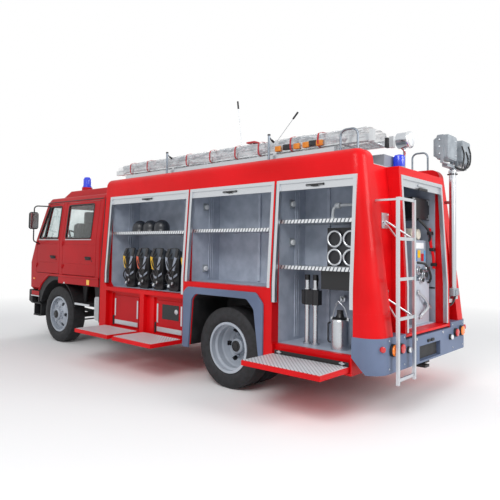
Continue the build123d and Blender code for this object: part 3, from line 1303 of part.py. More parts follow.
with BuildPart() as tyre_fl:
    tyre_ring(front_x, front_track_half)
keep(tyre_fl.part, "tyre_fl")
with BuildPart() as tyre_fr:
    tyre_ring(front_x, -front_track_half)
keep(tyre_fr.part, "tyre_fr")
with BuildPart() as tyre_rl:
    tyre_ring(rear_x, rear_outer_half)
    tyre_ring(rear_x, rear_outer_half - twin_spacing)
keep(tyre_rl.part, "tyre_rl")
with BuildPart() as tyre_rr:
    tyre_ring(rear_x, -rear_outer_half)
    tyre_ring(rear_x, twin_spacing - rear_outer_half)
keep(tyre_rr.part, "tyre_rr")

# Fold-down steps: a tray with a tread plate on top, carried by two lugs round the hinge pins
tray_wall = 12
for name, back, front, level in steps:
    for side, hand in ((1, "l"), (-1, "r")):
        with BuildPart() as step:
            inner = step_hinge_y + step_gap
            x = (rear_x + back, rear_x + front)
            z = (level - step_thickness / 2, level + step_thickness / 2)
            slab(x, sorted((side * inner, side * (inner + step_reach))), z)
            slab((x[0] + tray_wall, x[1] - tray_wall),
                 sorted((side * (inner + tray_wall), side * (inner + step_reach - tray_wall))),
                 (z[0] - 1, z[1] - tray_wall), Mode.SUBTRACT)
            for spot in (x[0] + 110, x[1] - 110):
                ends = (spot - step_lug / 2, spot + step_lug / 2)
                slab(ends, sorted((side * step_hinge_y, side * (inner + 2))), (level - 12, level + 12))
                rod((ends[0], side * step_hinge_y, level), (ends[1], side * step_hinge_y, level), step_barrel_radius)
                rod((ends[0] - 1, side * step_hinge_y, level), (ends[1] + 1, side * step_hinge_y, level),
                    step_pin_radius + running_fit, Mode.SUBTRACT)
        keep(step.part, f"step_{name}_{hand}")
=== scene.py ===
import random
from math import cos, pi, radians, sin
import bmesh
import bpy
from mathutils import Matrix, Vector


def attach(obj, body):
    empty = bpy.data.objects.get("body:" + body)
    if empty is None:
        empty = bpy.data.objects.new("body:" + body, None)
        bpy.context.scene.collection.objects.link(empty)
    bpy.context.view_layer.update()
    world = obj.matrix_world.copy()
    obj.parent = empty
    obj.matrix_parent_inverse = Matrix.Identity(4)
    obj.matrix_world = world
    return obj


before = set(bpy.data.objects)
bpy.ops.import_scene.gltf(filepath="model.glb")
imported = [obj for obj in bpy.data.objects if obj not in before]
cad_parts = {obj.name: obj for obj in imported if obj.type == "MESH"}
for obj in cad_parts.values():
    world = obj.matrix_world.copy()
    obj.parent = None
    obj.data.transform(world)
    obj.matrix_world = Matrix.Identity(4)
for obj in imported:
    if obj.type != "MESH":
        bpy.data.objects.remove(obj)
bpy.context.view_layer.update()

# Sizes of the part in metres: the two axles, the wheels' middle, the body's half width and waist
REAR = -1.645
FRONT = 2.57
AXLE_Z = 0.483
HALF = 1.2
WAIST = 1.3


def side_y(z):
    """Half width of the equipment body's side at a height."""
    return HALF - 0.075 * max(0.0, z - WAIST) / 1.22


def cab_y(z):
    """Half width of the cab's side at a height."""
    return 1.1 - 0.075 * max(0.0, z - 1.79) / 0.67


# Finishes

def linear(code):
    """Linear colour from an sRGB hex code."""
    parts = [int(code[i:i + 2], 16) / 255 for i in (1, 3, 5)]
    return [c / 12.92 if c <= 0.04045 else ((c + 0.055) / 1.055) ** 2.4 for c in parts] + [1.0]


def add_node(tree, kind, inputs=None, **fields):
    """Adds one node. An input takes a value, or a link from an output or from a node's first output."""
    made = tree.nodes.new("ShaderNode" + kind)
    for key, value in fields.items():
        setattr(made, key, value)
    for socket, source in (inputs or {}).items():
        if isinstance(source, bpy.types.Node):
            source = source.outputs[0]
        if isinstance(source, bpy.types.NodeSocket):
            tree.links.new(source, made.inputs[socket])
        else:
            made.inputs[socket].default_value = source
    return made


def calc(tree, operation, first, second=0.5):
    """One math node. 0.5 is what its second input holds by itself."""
    return add_node(tree, "Math", {0: first, 1: second}, operation=operation)


def new_finish(name, code, roughness, metallic=0.0, **sockets):
    """A new material with its shader's constants set."""
    made = bpy.data.materials.new(name)
    made.use_nodes = True
    tree = made.node_tree
    shader = tree.nodes["Principled BSDF"]
    shader.inputs["Base Color"].default_value = linear(code)
    shader.inputs["Roughness"].default_value = roughness
    shader.inputs["Metallic"].default_value = metallic
    for key, value in sockets.items():
        shader.inputs[key.replace("_", " ")].default_value = value
    return made, tree, shader


def object_place(tree, scale=(1, 1, 1), turn=(0, 0, 0)):
    """Object coordinates in metres, scaled and turned."""
    coords = add_node(tree, "TexCoord").outputs["Object"]
    return add_node(tree, "Mapping", {"Vector": coords, "Scale": scale, "Rotation": turn})


def shades(tree, shader, source, dark, light, low=0.0, high=1.0):
    """Base colour that goes from one shade to another as a source goes from low to high."""
    ramp = add_node(tree, "ValToRGB", {"Fac": source})
    first, last = ramp.color_ramp.elements
    first.position, first.color = low, linear(dark)
    last.position, last.color = high, linear(light)
    tree.links.new(ramp.outputs["Color"], shader.inputs["Base Color"])


def mottle(tree, shader, place, grain, dark, light, low=0.35, high=0.65):
    """Varies the base colour between two close shades by noise of a grain size in metres."""
    noise = add_node(tree, "TexNoise", {"Vector": place, "Scale": 1 / grain, "Detail": 4.0})
    shades(tree, shader, noise, dark, light, low, high)
    return noise


def relief(tree, shader, height, depth, strength):
    """Bumps the surface by a height. The depth is in metres."""
    bump = add_node(tree, "Bump", {"Height": height, "Distance": depth, "Strength": strength})
    tree.links.new(bump.outputs["Normal"], shader.inputs["Normal"])


def enamel(name, dark, light):
    """Sprayed two-pack enamel: deep gloss with a faint orange peel and slow shade changes."""
    made, tree, shader = new_finish(name, light, 0.4, Coat_Weight=0.12, Coat_Roughness=0.06,
        Specular_IOR_Level=0.12)
    place = object_place(tree)
    mottle(tree, shader, place, 0.7, dark, light)
    peel = add_node(tree, "TexNoise", {"Vector": place, "Scale": 160.0})
    relief(tree, shader, peel, 0.0004, 0.25)
    return made


def brushed(name, dark, light, stretch, roughness=0.34):
    """Drawn or brushed metal: fine streaks along its length."""
    made, tree, shader = new_finish(name, light, roughness, 1.0)
    streaks = mottle(tree, shader, object_place(tree, stretch), 0.004, dark, light, 0.3, 0.7)
    relief(tree, shader, streaks, 0.0003, 0.3)
    return made


def moulded(name, dark, light, roughness, grain=0.0025):
    """Moulded plastic, powder coat or painted casting with a fine leather grain."""
    made, tree, shader = new_finish(name, light, roughness)
    place = object_place(tree)
    mottle(tree, shader, place, 0.12, dark, light)
    cells = add_node(tree, "TexVoronoi", {"Vector": place, "Scale": 1 / grain})
    relief(tree, shader, cells, 0.0006, 0.35)
    return made


def weave(name, dark, light, pitch=0.004):
    """Woven seat cloth or webbing: crossed threads at a visible pitch."""
    made, tree, shader = new_finish(name, light, 0.85, Sheen_Weight=0.4)
    thread = {"Vector": object_place(tree), "Scale": 0.3 / pitch, "Distortion": 0.6}
    across = add_node(tree, "TexWave", thread, bands_direction="X").outputs["Fac"]
    along = add_node(tree, "TexWave", thread, bands_direction="Z").outputs["Fac"]
    crossed = calc(tree, "MULTIPLY", across, along)
    shades(tree, shader, crossed, dark, light)
    relief(tree, shader, crossed, 0.001, 0.5)
    return made


def tread_plate(name, pitch=0.034):
    """Anti-slip aluminium plate with rows of dimpled holes."""
    made, tree, shader = new_finish(name, "#D8DBDF", 0.45, 0.25)
    place = object_place(tree, turn=(0, 0, radians(45)))
    dots = add_node(tree, "TexVoronoi", {"Vector": place, "Scale": 1 / pitch, "Randomness": 0.0},
                    voronoi_dimensions="2D")
    shades(tree, shader, dots, "#3A3E44", "#D6D9DD", 0.17, 0.25)
    relief(tree, shader, dots, 0.003, 0.6)
    return made


def slotted(name, pitch=0.046):
    """Folded aluminium edge with a row of leaning oval holes."""
    made, tree, shader = new_finish(name, "#D4D7DA", 0.36, 0.6)
    split = add_node(tree, "SeparateXYZ", {"Vector": object_place(tree)})
    phase = calc(tree, "MULTIPLY", split.outputs["X"], 2 * pi / pitch)
    lean = calc(tree, "MULTIPLY", split.outputs["Z"], 60.0)
    holes = calc(tree, "SINE", calc(tree, "ADD", phase, lean))
    shades(tree, shader, holes, "#DDE0E2", "#5A6068", 0.42, 0.62)
    relief(tree, shader, holes, 0.004, -0.6)
    return made


def patched(name, code, roughness, metallic, patches):
    """One finish with box-shaped areas in others: limits low and high, colour, roughness, metallic."""
    made, tree, shader = new_finish(name, code, roughness, metallic)
    place = object_place(tree)
    grain = add_node(tree, "TexNoise", {"Vector": place, "Scale": 28.0})
    tone = add_node(tree, "MapRange", {"Value": grain, "To Min": 0.9, "To Max": 1.06})
    colour, dull, metal = linear(code), roughness, metallic
    for low, high, other, other_dull, other_metal in patches:
        middle = [(a + b) / 2 for a, b in zip(low, high)]
        half = [(b - a) / 2 for a, b in zip(low, high)]
        away = add_node(tree, "VectorMath", {0: place, 1: middle}, operation="SUBTRACT")
        away = add_node(tree, "VectorMath", {0: away}, operation="ABSOLUTE")
        away = add_node(tree, "VectorMath", {0: away, 1: half}, operation="DIVIDE")
        x, y, z = add_node(tree, "SeparateXYZ", {"Vector": away}).outputs
        far = calc(tree, "MAXIMUM", calc(tree, "MAXIMUM", x, y), z)
        within = calc(tree, "LESS_THAN", far, 1.0)
        # A mix node's inputs 2 and 3 are its two numbers, 6 and 7 its two colours
        colour = add_node(tree, "Mix", {0: within, 6: colour, 7: linear(other)},
            data_type="RGBA").outputs[2]
        dull = add_node(tree, "Mix", {0: within, 2: dull, 3: other_dull}, data_type="FLOAT")
        metal = add_node(tree, "Mix", {0: within, 2: metal, 3: other_metal}, data_type="FLOAT")
    toned = add_node(tree, "VectorMath", {0: colour, "Scale": tone}, operation="SCALE")
    for source, socket in ((toned, "Base Color"), (dull, "Roughness"), (metal, "Metallic")):
        tree.links.new(source.outputs[0], shader.inputs[socket])
    relief(tree, shader, grain, 0.0006, 0.3)
    return made


def film(name):
    """Thin clear wrapping film with milky folds, its colour running between darker streaks painted as shade
    and pale milky ones.
    """
    made, tree, shader = new_finish(name, "#C9CED3", 0.22, Specular_IOR_Level=0.6)
    place = object_place(tree, (1.4, 6, 6), (0.2, 0.3, 0))
    folds = add_node(tree, "TexNoise", {"Vector": place, "Scale": 3.0, "Detail": 8.0})
    veil = add_node(tree, "MapRange", {"Value": folds, "From Min": 0.38, "From Max": 0.66,
                                                 "To Min": 0.12, "To Max": 0.72})
    tree.links.new(veil.outputs["Result"], shader.inputs["Alpha"])
    lying = object_place(tree, (1, 5, 5), (0.3, 0, 0.25))
    # Painted shade: the dark streaks across the film's colour stand in for shade, and the pale ones are the
    # milky film
    streaks = mottle(tree, shader, lying, 0.11, "#7E868E", "#E6EAEE")
    streaks.inputs["Distortion"].default_value = 1.2
    relief(tree, shader, folds, 0.02, 0.8)
    return made


def lens(name, code, strength=0.0):
    """Moulded lens with fine prisms, faintly glowing by its strength: a lamp lit from within, or on a
    reflector a painted glint.
    """
    made, tree, shader = new_finish(name, code, 0.12, IOR=1.49, Coat_Weight=0.6,
                                    Emission_Color=linear(code), Emission_Strength=strength)
    prisms = add_node(tree, "TexVoronoi", {"Vector": object_place(tree), "Scale": 110.0, "Randomness": 0.0},
                      feature="F1", distance="CHEBYCHEV")
    relief(tree, shader, prisms, 0.003, 0.6)
    return made


def clear_glass(name, code):
    """Toughened window glass with a light tint."""
    made, tree, shader = new_finish(name, code, 0.02, IOR=1.45, Transmission_Weight=1.0)
    mottle(tree, shader, object_place(tree), 0.9, code, "#F2F6F6")
    return made


def tyre_rubber(name, rib_pitch=0.052):
    """Vulcanised rubber: dull black with slow dusty changes and grooves round the tread."""
    made, tree, shader = new_finish(name, "#17171A", 0.72)
    place = object_place(tree)
    mottle(tree, shader, place, 0.05, "#121214", "#222226")
    split = add_node(tree, "SeparateXYZ", {"Vector": place})
    wave = calc(tree, "SINE", calc(tree, "MULTIPLY", split.outputs["Y"], 2 * pi / rib_pitch))
    relief(tree, shader, calc(tree, "LESS_THAN", wave, -0.72), 0.006, -0.9)
    return made


# Car paint: even gloss that carries the sky's light, deep red and blue grey
paint_red = enamel("sprayed_signal_red_enamel", "#C6070D", "#D60C14")
cab_red = enamel("sprayed_cab_red_enamel", "#A90611", "#B90A16")
recess_red = enamel("sprayed_recess_door_enamel", "#A80E16", "#B8121B")
bumper_paint = enamel("sprayed_blue_grey_enamel", "#5C6881", "#6A7791")
rim_paint = enamel("baked_silver_wheel_paint", "#9BA2AC", "#B4BAC3")
# Bare metal: soft streaky highlights along each profile, bar or tube
frame_aluminium = brushed("anodised_frame_aluminium", "#B9BDC2", "#DADDE0", (30, 30, 1))
deck_aluminium = brushed("rolled_deck_aluminium", "#B4B7BB", "#D3D6D9", (1, 30, 30))
rung_aluminium = brushed("drawn_ladder_aluminium", "#C0C3C6", "#E2E4E6", (1, 30, 30), 0.3)
steel_tube = brushed("bright_drawn_steel_tube", "#AEB2B7", "#D5D8DB", (30, 30, 1), 0.28)
rail_grey = brushed("weathered_rail_tube", "#6C737C", "#8C949D", (30, 30, 1), 0.4)
chrome = brushed("chromed_steel", "#D9DCDF", "#F0F2F4", (1, 1, 1), 0.12)
# Punched metal: dark dimples on the trays, leaning slots on the shelf edges
step_tread = tread_plate("punched_tread_aluminium")
slotted_edge = slotted("punched_shelf_edge")
# Powder coat, paint on castings, plastic and rubber: dull and slightly grained
lining_sheet = moulded("powder_coated_lining_sheet", "#9CA5B4", "#AEB6C4", 0.5, 0.004)
pale_sheet = moulded("pale_powder_coated_profile", "#A9B1C0", "#BCC4D1", 0.45, 0.004)
chassis_black = moulded("chassis_black_paint", "#1B1B1D", "#29292B", 0.55, 0.006)
tank_paint = moulded("light_grey_tank_paint", "#A9AEB2", "#BDC1C4", 0.45, 0.005)
lamp_grey = moulded("cast_grey_lamp_housing", "#7E858C", "#959CA2", 0.45, 0.004)
black_moulding = moulded("grained_black_polypropylene", "#141416", "#202124", 0.6)
orange_block = moulded("orange_moulded_block", "#C9731C", "#E09334", 0.6)
dark_pane = moulded("smoked_acrylic_pane", "#0B0D10", "#14171B", 0.12, 0.02)
# Also the black of the painted shadow strips: the tray's shadow gap and the gaps beside the shutter guides
black_seal_and_shadow = moulded("black_seal_rubber_and_painted_shadow", "#0E0E10", "#18181A", 0.5, 0.003)
cable_black = moulded("black_cable_sheath", "#121214", "#1E1E21", 0.5, 0.003)
rubber = tyre_rubber("vulcanised_tyre_rubber")
# Cloth and webbing: crossed threads that show close by and soften the light from afar
seat_cloth = weave("woven_seat_cloth", "#1A1B1E", "#34363B")
cushion_cloth = weave("padded_seat_cloth", "#232529", "#44474D", 0.005)
canvas_cream = weave("cream_hose_canvas", "#BDB7A6", "#E2DDCF", 0.005)
red_strap = weave("red_lashing_strap", "#A3121C", "#D0232E", 0.003)
HARNESS = {
    "black": weave("black_harness_webbing", "#0D0D10", "#212227"),
    "yellow": weave("yellow_harness_webbing", "#D9A800", "#F4C81A"),
    "grey": weave("grey_harness_webbing", "#7F8795", "#A9B0BC"),
    "orange": weave("orange_harness_webbing", "#C2492A", "#E06A3C"),
}
# Glass, film and lenses: clear or tinted, with sharp highlights
window_glass = clear_glass("tinted_window_glass", "#C9D6D6")
film_wrap = film("clear_wrapping_film")
beacon_blue = lens("moulded_blue_dome", "#1532C8", 0.25)
lens_red = lens("moulded_red_lens", "#B80F14", 0.1)
lens_amber = lens("moulded_amber_lens", "#E8760C", 0.1)
lens_white = lens("moulded_clear_lens", "#DDE0E2")
# Painted glint: the side reflector is no lamp, yet it glows faintly
reflector_painted_glint = lens("yellow_side_reflector_painted_glint", "#E9B11A", 0.1)
# Several things in one node: bright steel gear, grey roof fittings and dark cylinders, each with
# areas in the colours that the photo shows
GEAR_PATCHES = [
    ((-0.2, 0.6, 1.899), (0.62, 1.1, 2.12), "#24272D", 0.35, 0.0),  # helmets
    ((-3.29, 0.69, 1.486), (-2.87, 0.881, 1.935), "#1B1D22", 0.5, 0.0),  # ring rack plate
    ((-3.3, 0.63, 1.25), (-2.87, 1.01, 1.4605), "#111215", 0.4, 0.0),  # dark box under the shelf
    ((-2.81, 0.84, 1.066), (-2.56, 0.96, 1.238), "#15161A", 0.5, 0.0),  # clamp of the rams
    ((-2.81, 0.8, 1.34), (-2.56, 0.96, 1.42), "#15161A", 0.4, 0.0),  # ram heads
    ((-3.17, 0.8, 0.946), (-2.88, 1.02, 1.06), "#17181B", 0.4, 0.0),  # jug lid
    ((-2.962, 0.88, 0.63), (-2.88, 0.94, 1.06), "#17181B", 0.4, 0.0),  # jug handle
    ((-3.46, -0.52, 0.82), (-3.14, -0.04, 1.3301), "#B4BAC4", 0.45, 0.0),  # pump cabinet
    ((-3.42, -0.52, 1.3302), (-3.12, -0.04, 1.83), "#98A1AE", 0.45, 0.0),  # upper casing
    ((-3.44, -0.56, 2.04), (-3.1, -0.04, 2.33), "#101114", 0.4, 0.0),  # hose box
]
gear_steel = patched("stowed_steel_gear", "#C3C6CA", 0.26, 1.0, GEAR_PATCHES)
ROOF_PATCHES = [
    ((-1.95, -0.03, 2.63), (-0.6, -0.01, 4.0), "#B9BDC2", 0.3, 1.0),  # aerial rods
    ((-3.46, -0.08, 2.84), (-3.28, 0.16, 3.08), "#C9CDD2", 0.18, 1.0),  # searchlight body
]
roof_grey = patched("roof_fitting_paint", "#8B929A", 0.5, 0.0, ROOF_PATCHES)
SET_PATCHES = [
    ((-1.0, 0.8, 1.52), (0.8, 1.0, 1.66), "#3B424B", 0.4, 0.0),  # left cylinder heads
    ((-1.0, -1.0, 1.52), (0.8, -0.8, 1.66), "#3B424B", 0.4, 0.0),  # right cylinder heads
]
set_black = patched("breathing_set_composite", "#1A1B1E", 0.5, 0.0, SET_PATCHES)

# The finish of every CAD node
DOORS, GLASS, RIMS, TYRES = ([f"{name}_{corner}" for corner in ("fl", "fr", "rl", "rr")]
                              for name in ("door", "glass", "rim", "tyre"))
NODE_FINISH = {
    paint_red: ["body_shell"] + [f"step_{n}_{h}" for n in ("front", "middle", "rear") for h in "lr"],
    cab_red: ["cab_shell", *DOORS],
    bumper_paint: ["arch_trims", "rear_bumper"],
    frame_aluminium: ["opening_frames", "shutter_bars", "rear_ladder"],
    deck_aluminium: ["roof_deck", "shelves"],
    rung_aluminium: ["roof_ladder"],
    lining_sheet: ["compartment_lining"],
    chassis_black: ["chassis_frame", "front_axle", "rear_axle", "engine", "battery_box", "knuckle_l",
                    "knuckle_r", "tie_rod", "wheel_houses"],
    black_moulding: ["front_bumper", "grille", "mirror_l", "mirror_r", "cab_mudguards", "rear_lamps"],
    set_black: ["breathing_sets"],
    tank_paint: ["fuel_tank"],
    lamp_grey: ["mast_head"],
    roof_grey: ["roof_fittings"],
    steel_tube: ["mast_tube"],
    rail_grey: ["roof_rails"],
    gear_steel: ["stored_equipment"],
    lens_white: ["headlamps"],
    rim_paint: RIMS,
    seat_cloth: ["cab_interior"],
    rubber: TYRES,
    window_glass: ["windscreen", *GLASS],
    beacon_blue: ["cab_beacons"],
}
for finish, names in NODE_FINISH.items():
    for name in names:
        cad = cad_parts[name]
        cad.data.materials.clear()
        cad.data.materials.append(finish)


# Modelling helpers

UP = (0, 0, 1)
AFT = (-1, 0, 0)
SIDES = ((1, "l"), (-1, "r"))


def span(back, fore):
    """Limits along the truck, given from the rear axle."""
    return REAR + back, REAR + fore


def around(middle, half):
    """Limits at one distance on both sides of a middle."""
    return middle - half, middle + half


def pick(*objs):
    """Selects only the given objects, or none, and makes the first one active."""
    bpy.ops.object.select_all(action="DESELECT")
    for obj in objs:
        obj.select_set(True)
    if objs:
        bpy.context.view_layer.objects.active = objs[0]


def new_object(name, data):
    """An object in the scene that holds some data."""
    made = bpy.data.objects.new(name, data)
    bpy.context.collection.objects.link(made)
    return made


def settle(made, name, finish, body="truck"):
    """Joins a list, names the piece, puts its place into its mesh and lets it ride on a body."""
    obj = made
    if isinstance(made, list):
        pick(*made)
        bpy.ops.object.join()
        obj = made[0]
    pick(obj)
    bpy.ops.object.transform_apply()
    obj.name = name
    obj.data.name = name
    obj.data.materials.clear()
    obj.data.materials.append(finish)
    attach(obj, body)


def round_edges(obj, width):
    """Rounds every sharp edge of a piece by a small bevel."""
    made = obj.modifiers.new("round", "BEVEL")
    made.width = width
    made.segments = 2
    made.limit_method = "ANGLE"
    bpy.context.view_layer.objects.active = obj
    bpy.ops.object.modifier_apply(modifier=made.name)


def block(x, y, z, bevel=0.002):
    """A box between limits in metres, given in either order, its edges rounded."""
    pick()
    bpy.ops.mesh.primitive_cube_add(size=1, location=[sum(limits) / 2 for limits in (x, y, z)])
    made = bpy.context.active_object
    made.scale = [abs(limits[1] - limits[0]) for limits in (x, y, z)]
    bpy.ops.object.transform_apply()
    round_edges(made, bevel)
    return made


def pipe(points, radius, closed=False):
    """A round bar along points, as a mesh."""
    line = bpy.data.curves.new("line", "CURVE")
    line.dimensions = "3D"
    line.bevel_depth = radius
    line.bevel_resolution = 2
    line.use_fill_caps = not closed
    spline = line.splines.new("POLY")
    spline.points.add(len(points) - 1)
    for knot, point in zip(spline.points, points):
        knot.co = (*point, 1.0)
    spline.use_cyclic_u = closed
    pick(new_object("pipe", line))
    bpy.ops.object.convert(target="MESH")
    bpy.ops.object.shade_smooth_by_angle(angle=radians(40))
    return bpy.context.active_object


def curve_points(points, count=14):
    """About so many points along a smooth run through a few knots."""
    knots = [Vector(p) for p in (points[0], *points, points[-1])]
    parts = count // (len(points) - 1)
    out = []
    for a, b, c, d in zip(knots, knots[1:], knots[2:], knots[3:]):
        for step in range(parts):
            t = step / parts
            out.append(0.5 * ((2 * b) + (c - a) * t + (2 * a - 5 * b + 4 * c - d) * t * t
                              + (3 * b - a - 3 * c + d) * t ** 3))
    return out + [knots[-1]]


def hose(points, radius, count=14):
    """A round hose or bent bar that runs smoothly through a few knots."""
    return pipe(curve_points(points, count), radius)


def disc(centre, axis, radius, depth, bevel=0.002, sides=24):
    """A short round bar centred on a point, along an axis, its rims rounded."""
    pick()
    turn = Vector(UP).rotation_difference(Vector(axis)).to_euler()
    bpy.ops.mesh.primitive_cylinder_add(vertices=sides, radius=radius, depth=depth, location=centre,
                                        rotation=turn)
    made = bpy.context.active_object
    bpy.ops.object.transform_apply()
    round_edges(made, bevel)
    bpy.ops.object.shade_smooth_by_angle(angle=radians(40))
    return made


def strap(points, width, thickness, across):
    """A flat webbing strap along points, its width laid along a direction."""
    mesh = bmesh.new()
    half = Vector(across).normalized() * width / 2
    rows = []
    for index, point in enumerate(points):
        before = Vector(points[max(index - 1, 0)])
        after = Vector(points[min(index + 1, len(points) - 1)])
        out = (after - before).normalized().cross(half.normalized()) * thickness / 2
        rows.append([mesh.verts.new(Vector(point) + a * half + b * out)
                     for a, b in ((1, 1), (-1, 1), (-1, -1), (1, -1))])
    for one, two in zip(rows, rows[1:]):
        for k in range(4):
            mesh.faces.new((one[k], one[(k + 1) % 4], two[(k + 1) % 4], two[k]))
    mesh.faces.new(rows[0][::-1])
    mesh.faces.new(rows[-1])
    bmesh.ops.recalc_face_normals(mesh, faces=mesh.faces)
    data = bpy.data.meshes.new("strap")
    mesh.to_mesh(data)
    mesh.free()
    return new_object("strap", data)


# Steps: tread plates over the folded-down trays, and hinge covers
STEPS = {"front": (1.7, 2.53, 0.462), "middle": (0.775, 1.59, 0.462), "rear": (-1.7, -0.735, 0.505)}
STEP_IN, STEP_OUT = 1.198, 1.718
for name, (back, fore, level) in STEPS.items():
    for side, hand in SIDES:
        body = f"step_{name}_{hand}"
        y = (side * (STEP_IN + 0.018), side * (STEP_OUT - 0.014))
        plate = block(span(back + 0.012, fore - 0.012), y, (level + 0.024, level + 0.03))
        settle(plate, f"tread_{name}_{hand}", step_tread, body)
        y = (side * (STEP_IN + 0.002), side * (STEP_IN + 0.016))
        covers = [block(around(x, 0.03), y, (level - 0.018, level + 0.029), 0.004)
                  for x in span(back + 0.11, fore - 0.11)]
        settle(covers, f"step_brackets_{name}_{hand}", steel_tube, body)

# Wheels: nuts on their pitch circle, and hub caps with their screws
NUTS, NUT_CIRCLE, SCREW_CIRCLE = 8, 0.1425, 0.054
# For each axle: its place, and how far out the rim's web and the hub's end lie
AXLES = {"f": (FRONT, 1.048, 1.101), "r": (REAR, 0.88, 1.005)}
for axle, (x, web, hub) in AXLES.items():
    for side, hand in SIDES:
        wheel, out = f"wheel_{axle}{hand}", (0, side, 0)
        nuts = []
        cap = [disc((x, side * hub, AXLE_Z), (0, 1, 0), 0.068, 0.01, 0.004, 32),
               disc((x, side * (hub + 0.008), AXLE_Z), (0, 1, 0), 0.04, 0.012, 0.004)]
        for number in range(NUTS):
            turn = 2 * pi * number / NUTS + pi / NUTS
            nut_x, nut_z = x + NUT_CIRCLE * cos(turn), AXLE_Z + NUT_CIRCLE * sin(turn)
            nuts.append(disc((nut_x, side * (web + 0.014), nut_z), out, 0.017, 0.03, 0.003, 6))
            nuts.append(disc((nut_x, side * (web + 0.03), nut_z), out, 0.01, 0.022, 0.002, 12))
            turn = 2 * pi * number / NUTS
            screw_x, screw_z = x + SCREW_CIRCLE * cos(turn), AXLE_Z + SCREW_CIRCLE * sin(turn)
            cap.append(disc((screw_x, side * (hub + 0.006), screw_z), (0, 1, 0), 0.007, 0.01, 0.002, 6))
        settle(nuts, f"wheel_nuts_{axle}{hand}", rim_paint, wheel)
        settle(cap, f"hub_cap_{axle}{hand}", chassis_black, wheel)

# Equipment body: doors of the lower recesses, with a window and a filler in the second one
RECESSES = ((1.76, 2.45), (0.8, 1.44))
RECESS_Y = HALF - 0.085
FACE = RECESS_Y + 0.014
for side, hand in SIDES:
    doors, strips, stays = [], [], []
    on_door = (side * FACE, side * (FACE + 0.006))
    for back, fore in RECESSES:
        low, high = REAR + back, REAR + fore
        doors.append(block((low + 0.045, high - 0.045), (side * (RECESS_Y - 0.002), side * FACE),
                           (0.5, 0.95), 0.004))
        for x in (low + 0.055, high - 0.085):
            strips.append(block((x, x + 0.03), on_door, (0.64, 0.9)))
        strips.append(block((low + 0.06, high - 0.06), on_door, (0.52, 0.585)))
        for x in (low + 0.008, high - 0.03):
            stays.append(block((x, x + 0.022), (side * RECESS_Y, side * (RECESS_Y + 0.018)),
                               (0.5, 0.64), 0.004))
    pane = block((low + 0.125, low + 0.47), (side * FACE, side * (FACE + 0.004)), (0.7, 0.9))
    settle(pane, f"recess_window_{hand}", dark_pane)
    socket = [disc((low + 0.175, side * (FACE + 0.004), 0.815), (0, side, 0), 0.034, 0.006),
              disc((low + 0.175, side * (FACE + 0.006), 0.815), (0, side, 0), 0.02, 0.005)]
    settle(socket, f"filler_socket_{hand}", steel_tube)
    settle(doors, f"recess_doors_{hand}", recess_red)
    settle(strips, f"recess_strips_{hand}", frame_aluminium)
    settle(stays, f"recess_stays_{hand}", black_moulding)

# Compartments: shutter grips, slotted shelf edges, lamps and grooved uprights
COMPARTMENTS = {"pump": (0.81, 2.54, 1.07), "middle": (-0.64, 0.7, 1.245),
                "rear": (-1.695, -0.755, 0.63)}
HEAD = 2.41
SHELVES = (("pump", 1.9), ("middle", 1.915), ("rear", 2.0), ("rear", 1.49))
SHELF_LIP = 1.068
LINING_BACK = 0.572
LAMP_LEVELS = {"pump": (), "middle": (2.235, 1.405), "rear": (2.21, 1.76)}
for side, hand in SIDES:
    grips, lips, rails, plates, lamps = [], [], [], [], []
    for name, (back, fore, base) in COMPARTMENTS.items():
        middle = REAR + (back + fore) / 2
        y = side * (side_y(HEAD) - 0.01)
        grips.append(block(around(middle, 0.115), (y, y + side * 0.012),
                           (HEAD - 0.046, HEAD - 0.02), 0.005))
        grips.append(block(around(middle, 0.045), (y + side * 0.01, y + side * 0.02),
                           (HEAD - 0.052, HEAD - 0.03), 0.004))
        # Round lamps in square plates on the forward wall, and a grooved upright beside them
        wall = REAR + fore + 0.04
        for z in LAMP_LEVELS[name]:
            plates.append(block((wall - 0.012, wall), (side * 0.8, side * 0.89), around(z, 0.05), 0.005))
            lamps.append(disc((wall - 0.024, side * 0.845, z), (1, 0, 0), 0.034, 0.03, 0.006))
        for y in (0.7, 0.735, 0.77):
            rails.append(block((wall - 0.01, wall), (side * y, side * (y + 0.012)),
                               (base + 0.03, HEAD - 0.05)))
        for x in span(back + 0.25, back + 0.62):
            rails.append(block((x, x + 0.04), (side * LINING_BACK, side * (LINING_BACK + 0.022)),
                               (base + 0.02, HEAD - 0.02), 0.004))
    for name, level in SHELVES:
        back, fore, base = COMPARTMENTS[name]
        lips.append(block(span(back - 0.036, fore + 0.036), (side * SHELF_LIP, side * (SHELF_LIP + 0.006)),
                          (level - 0.032, level + 0.01)))
    settle(grips, f"shutter_grips_{hand}", black_moulding)
    settle(lips, f"shelf_lips_{hand}", slotted_edge)
    settle(rails, f"wall_rails_{hand}", pale_sheet)
    settle(plates, f"lamp_plates_{hand}", lamp_grey)
    settle(lamps, f"compartment_lamps_{hand}", lens_white)

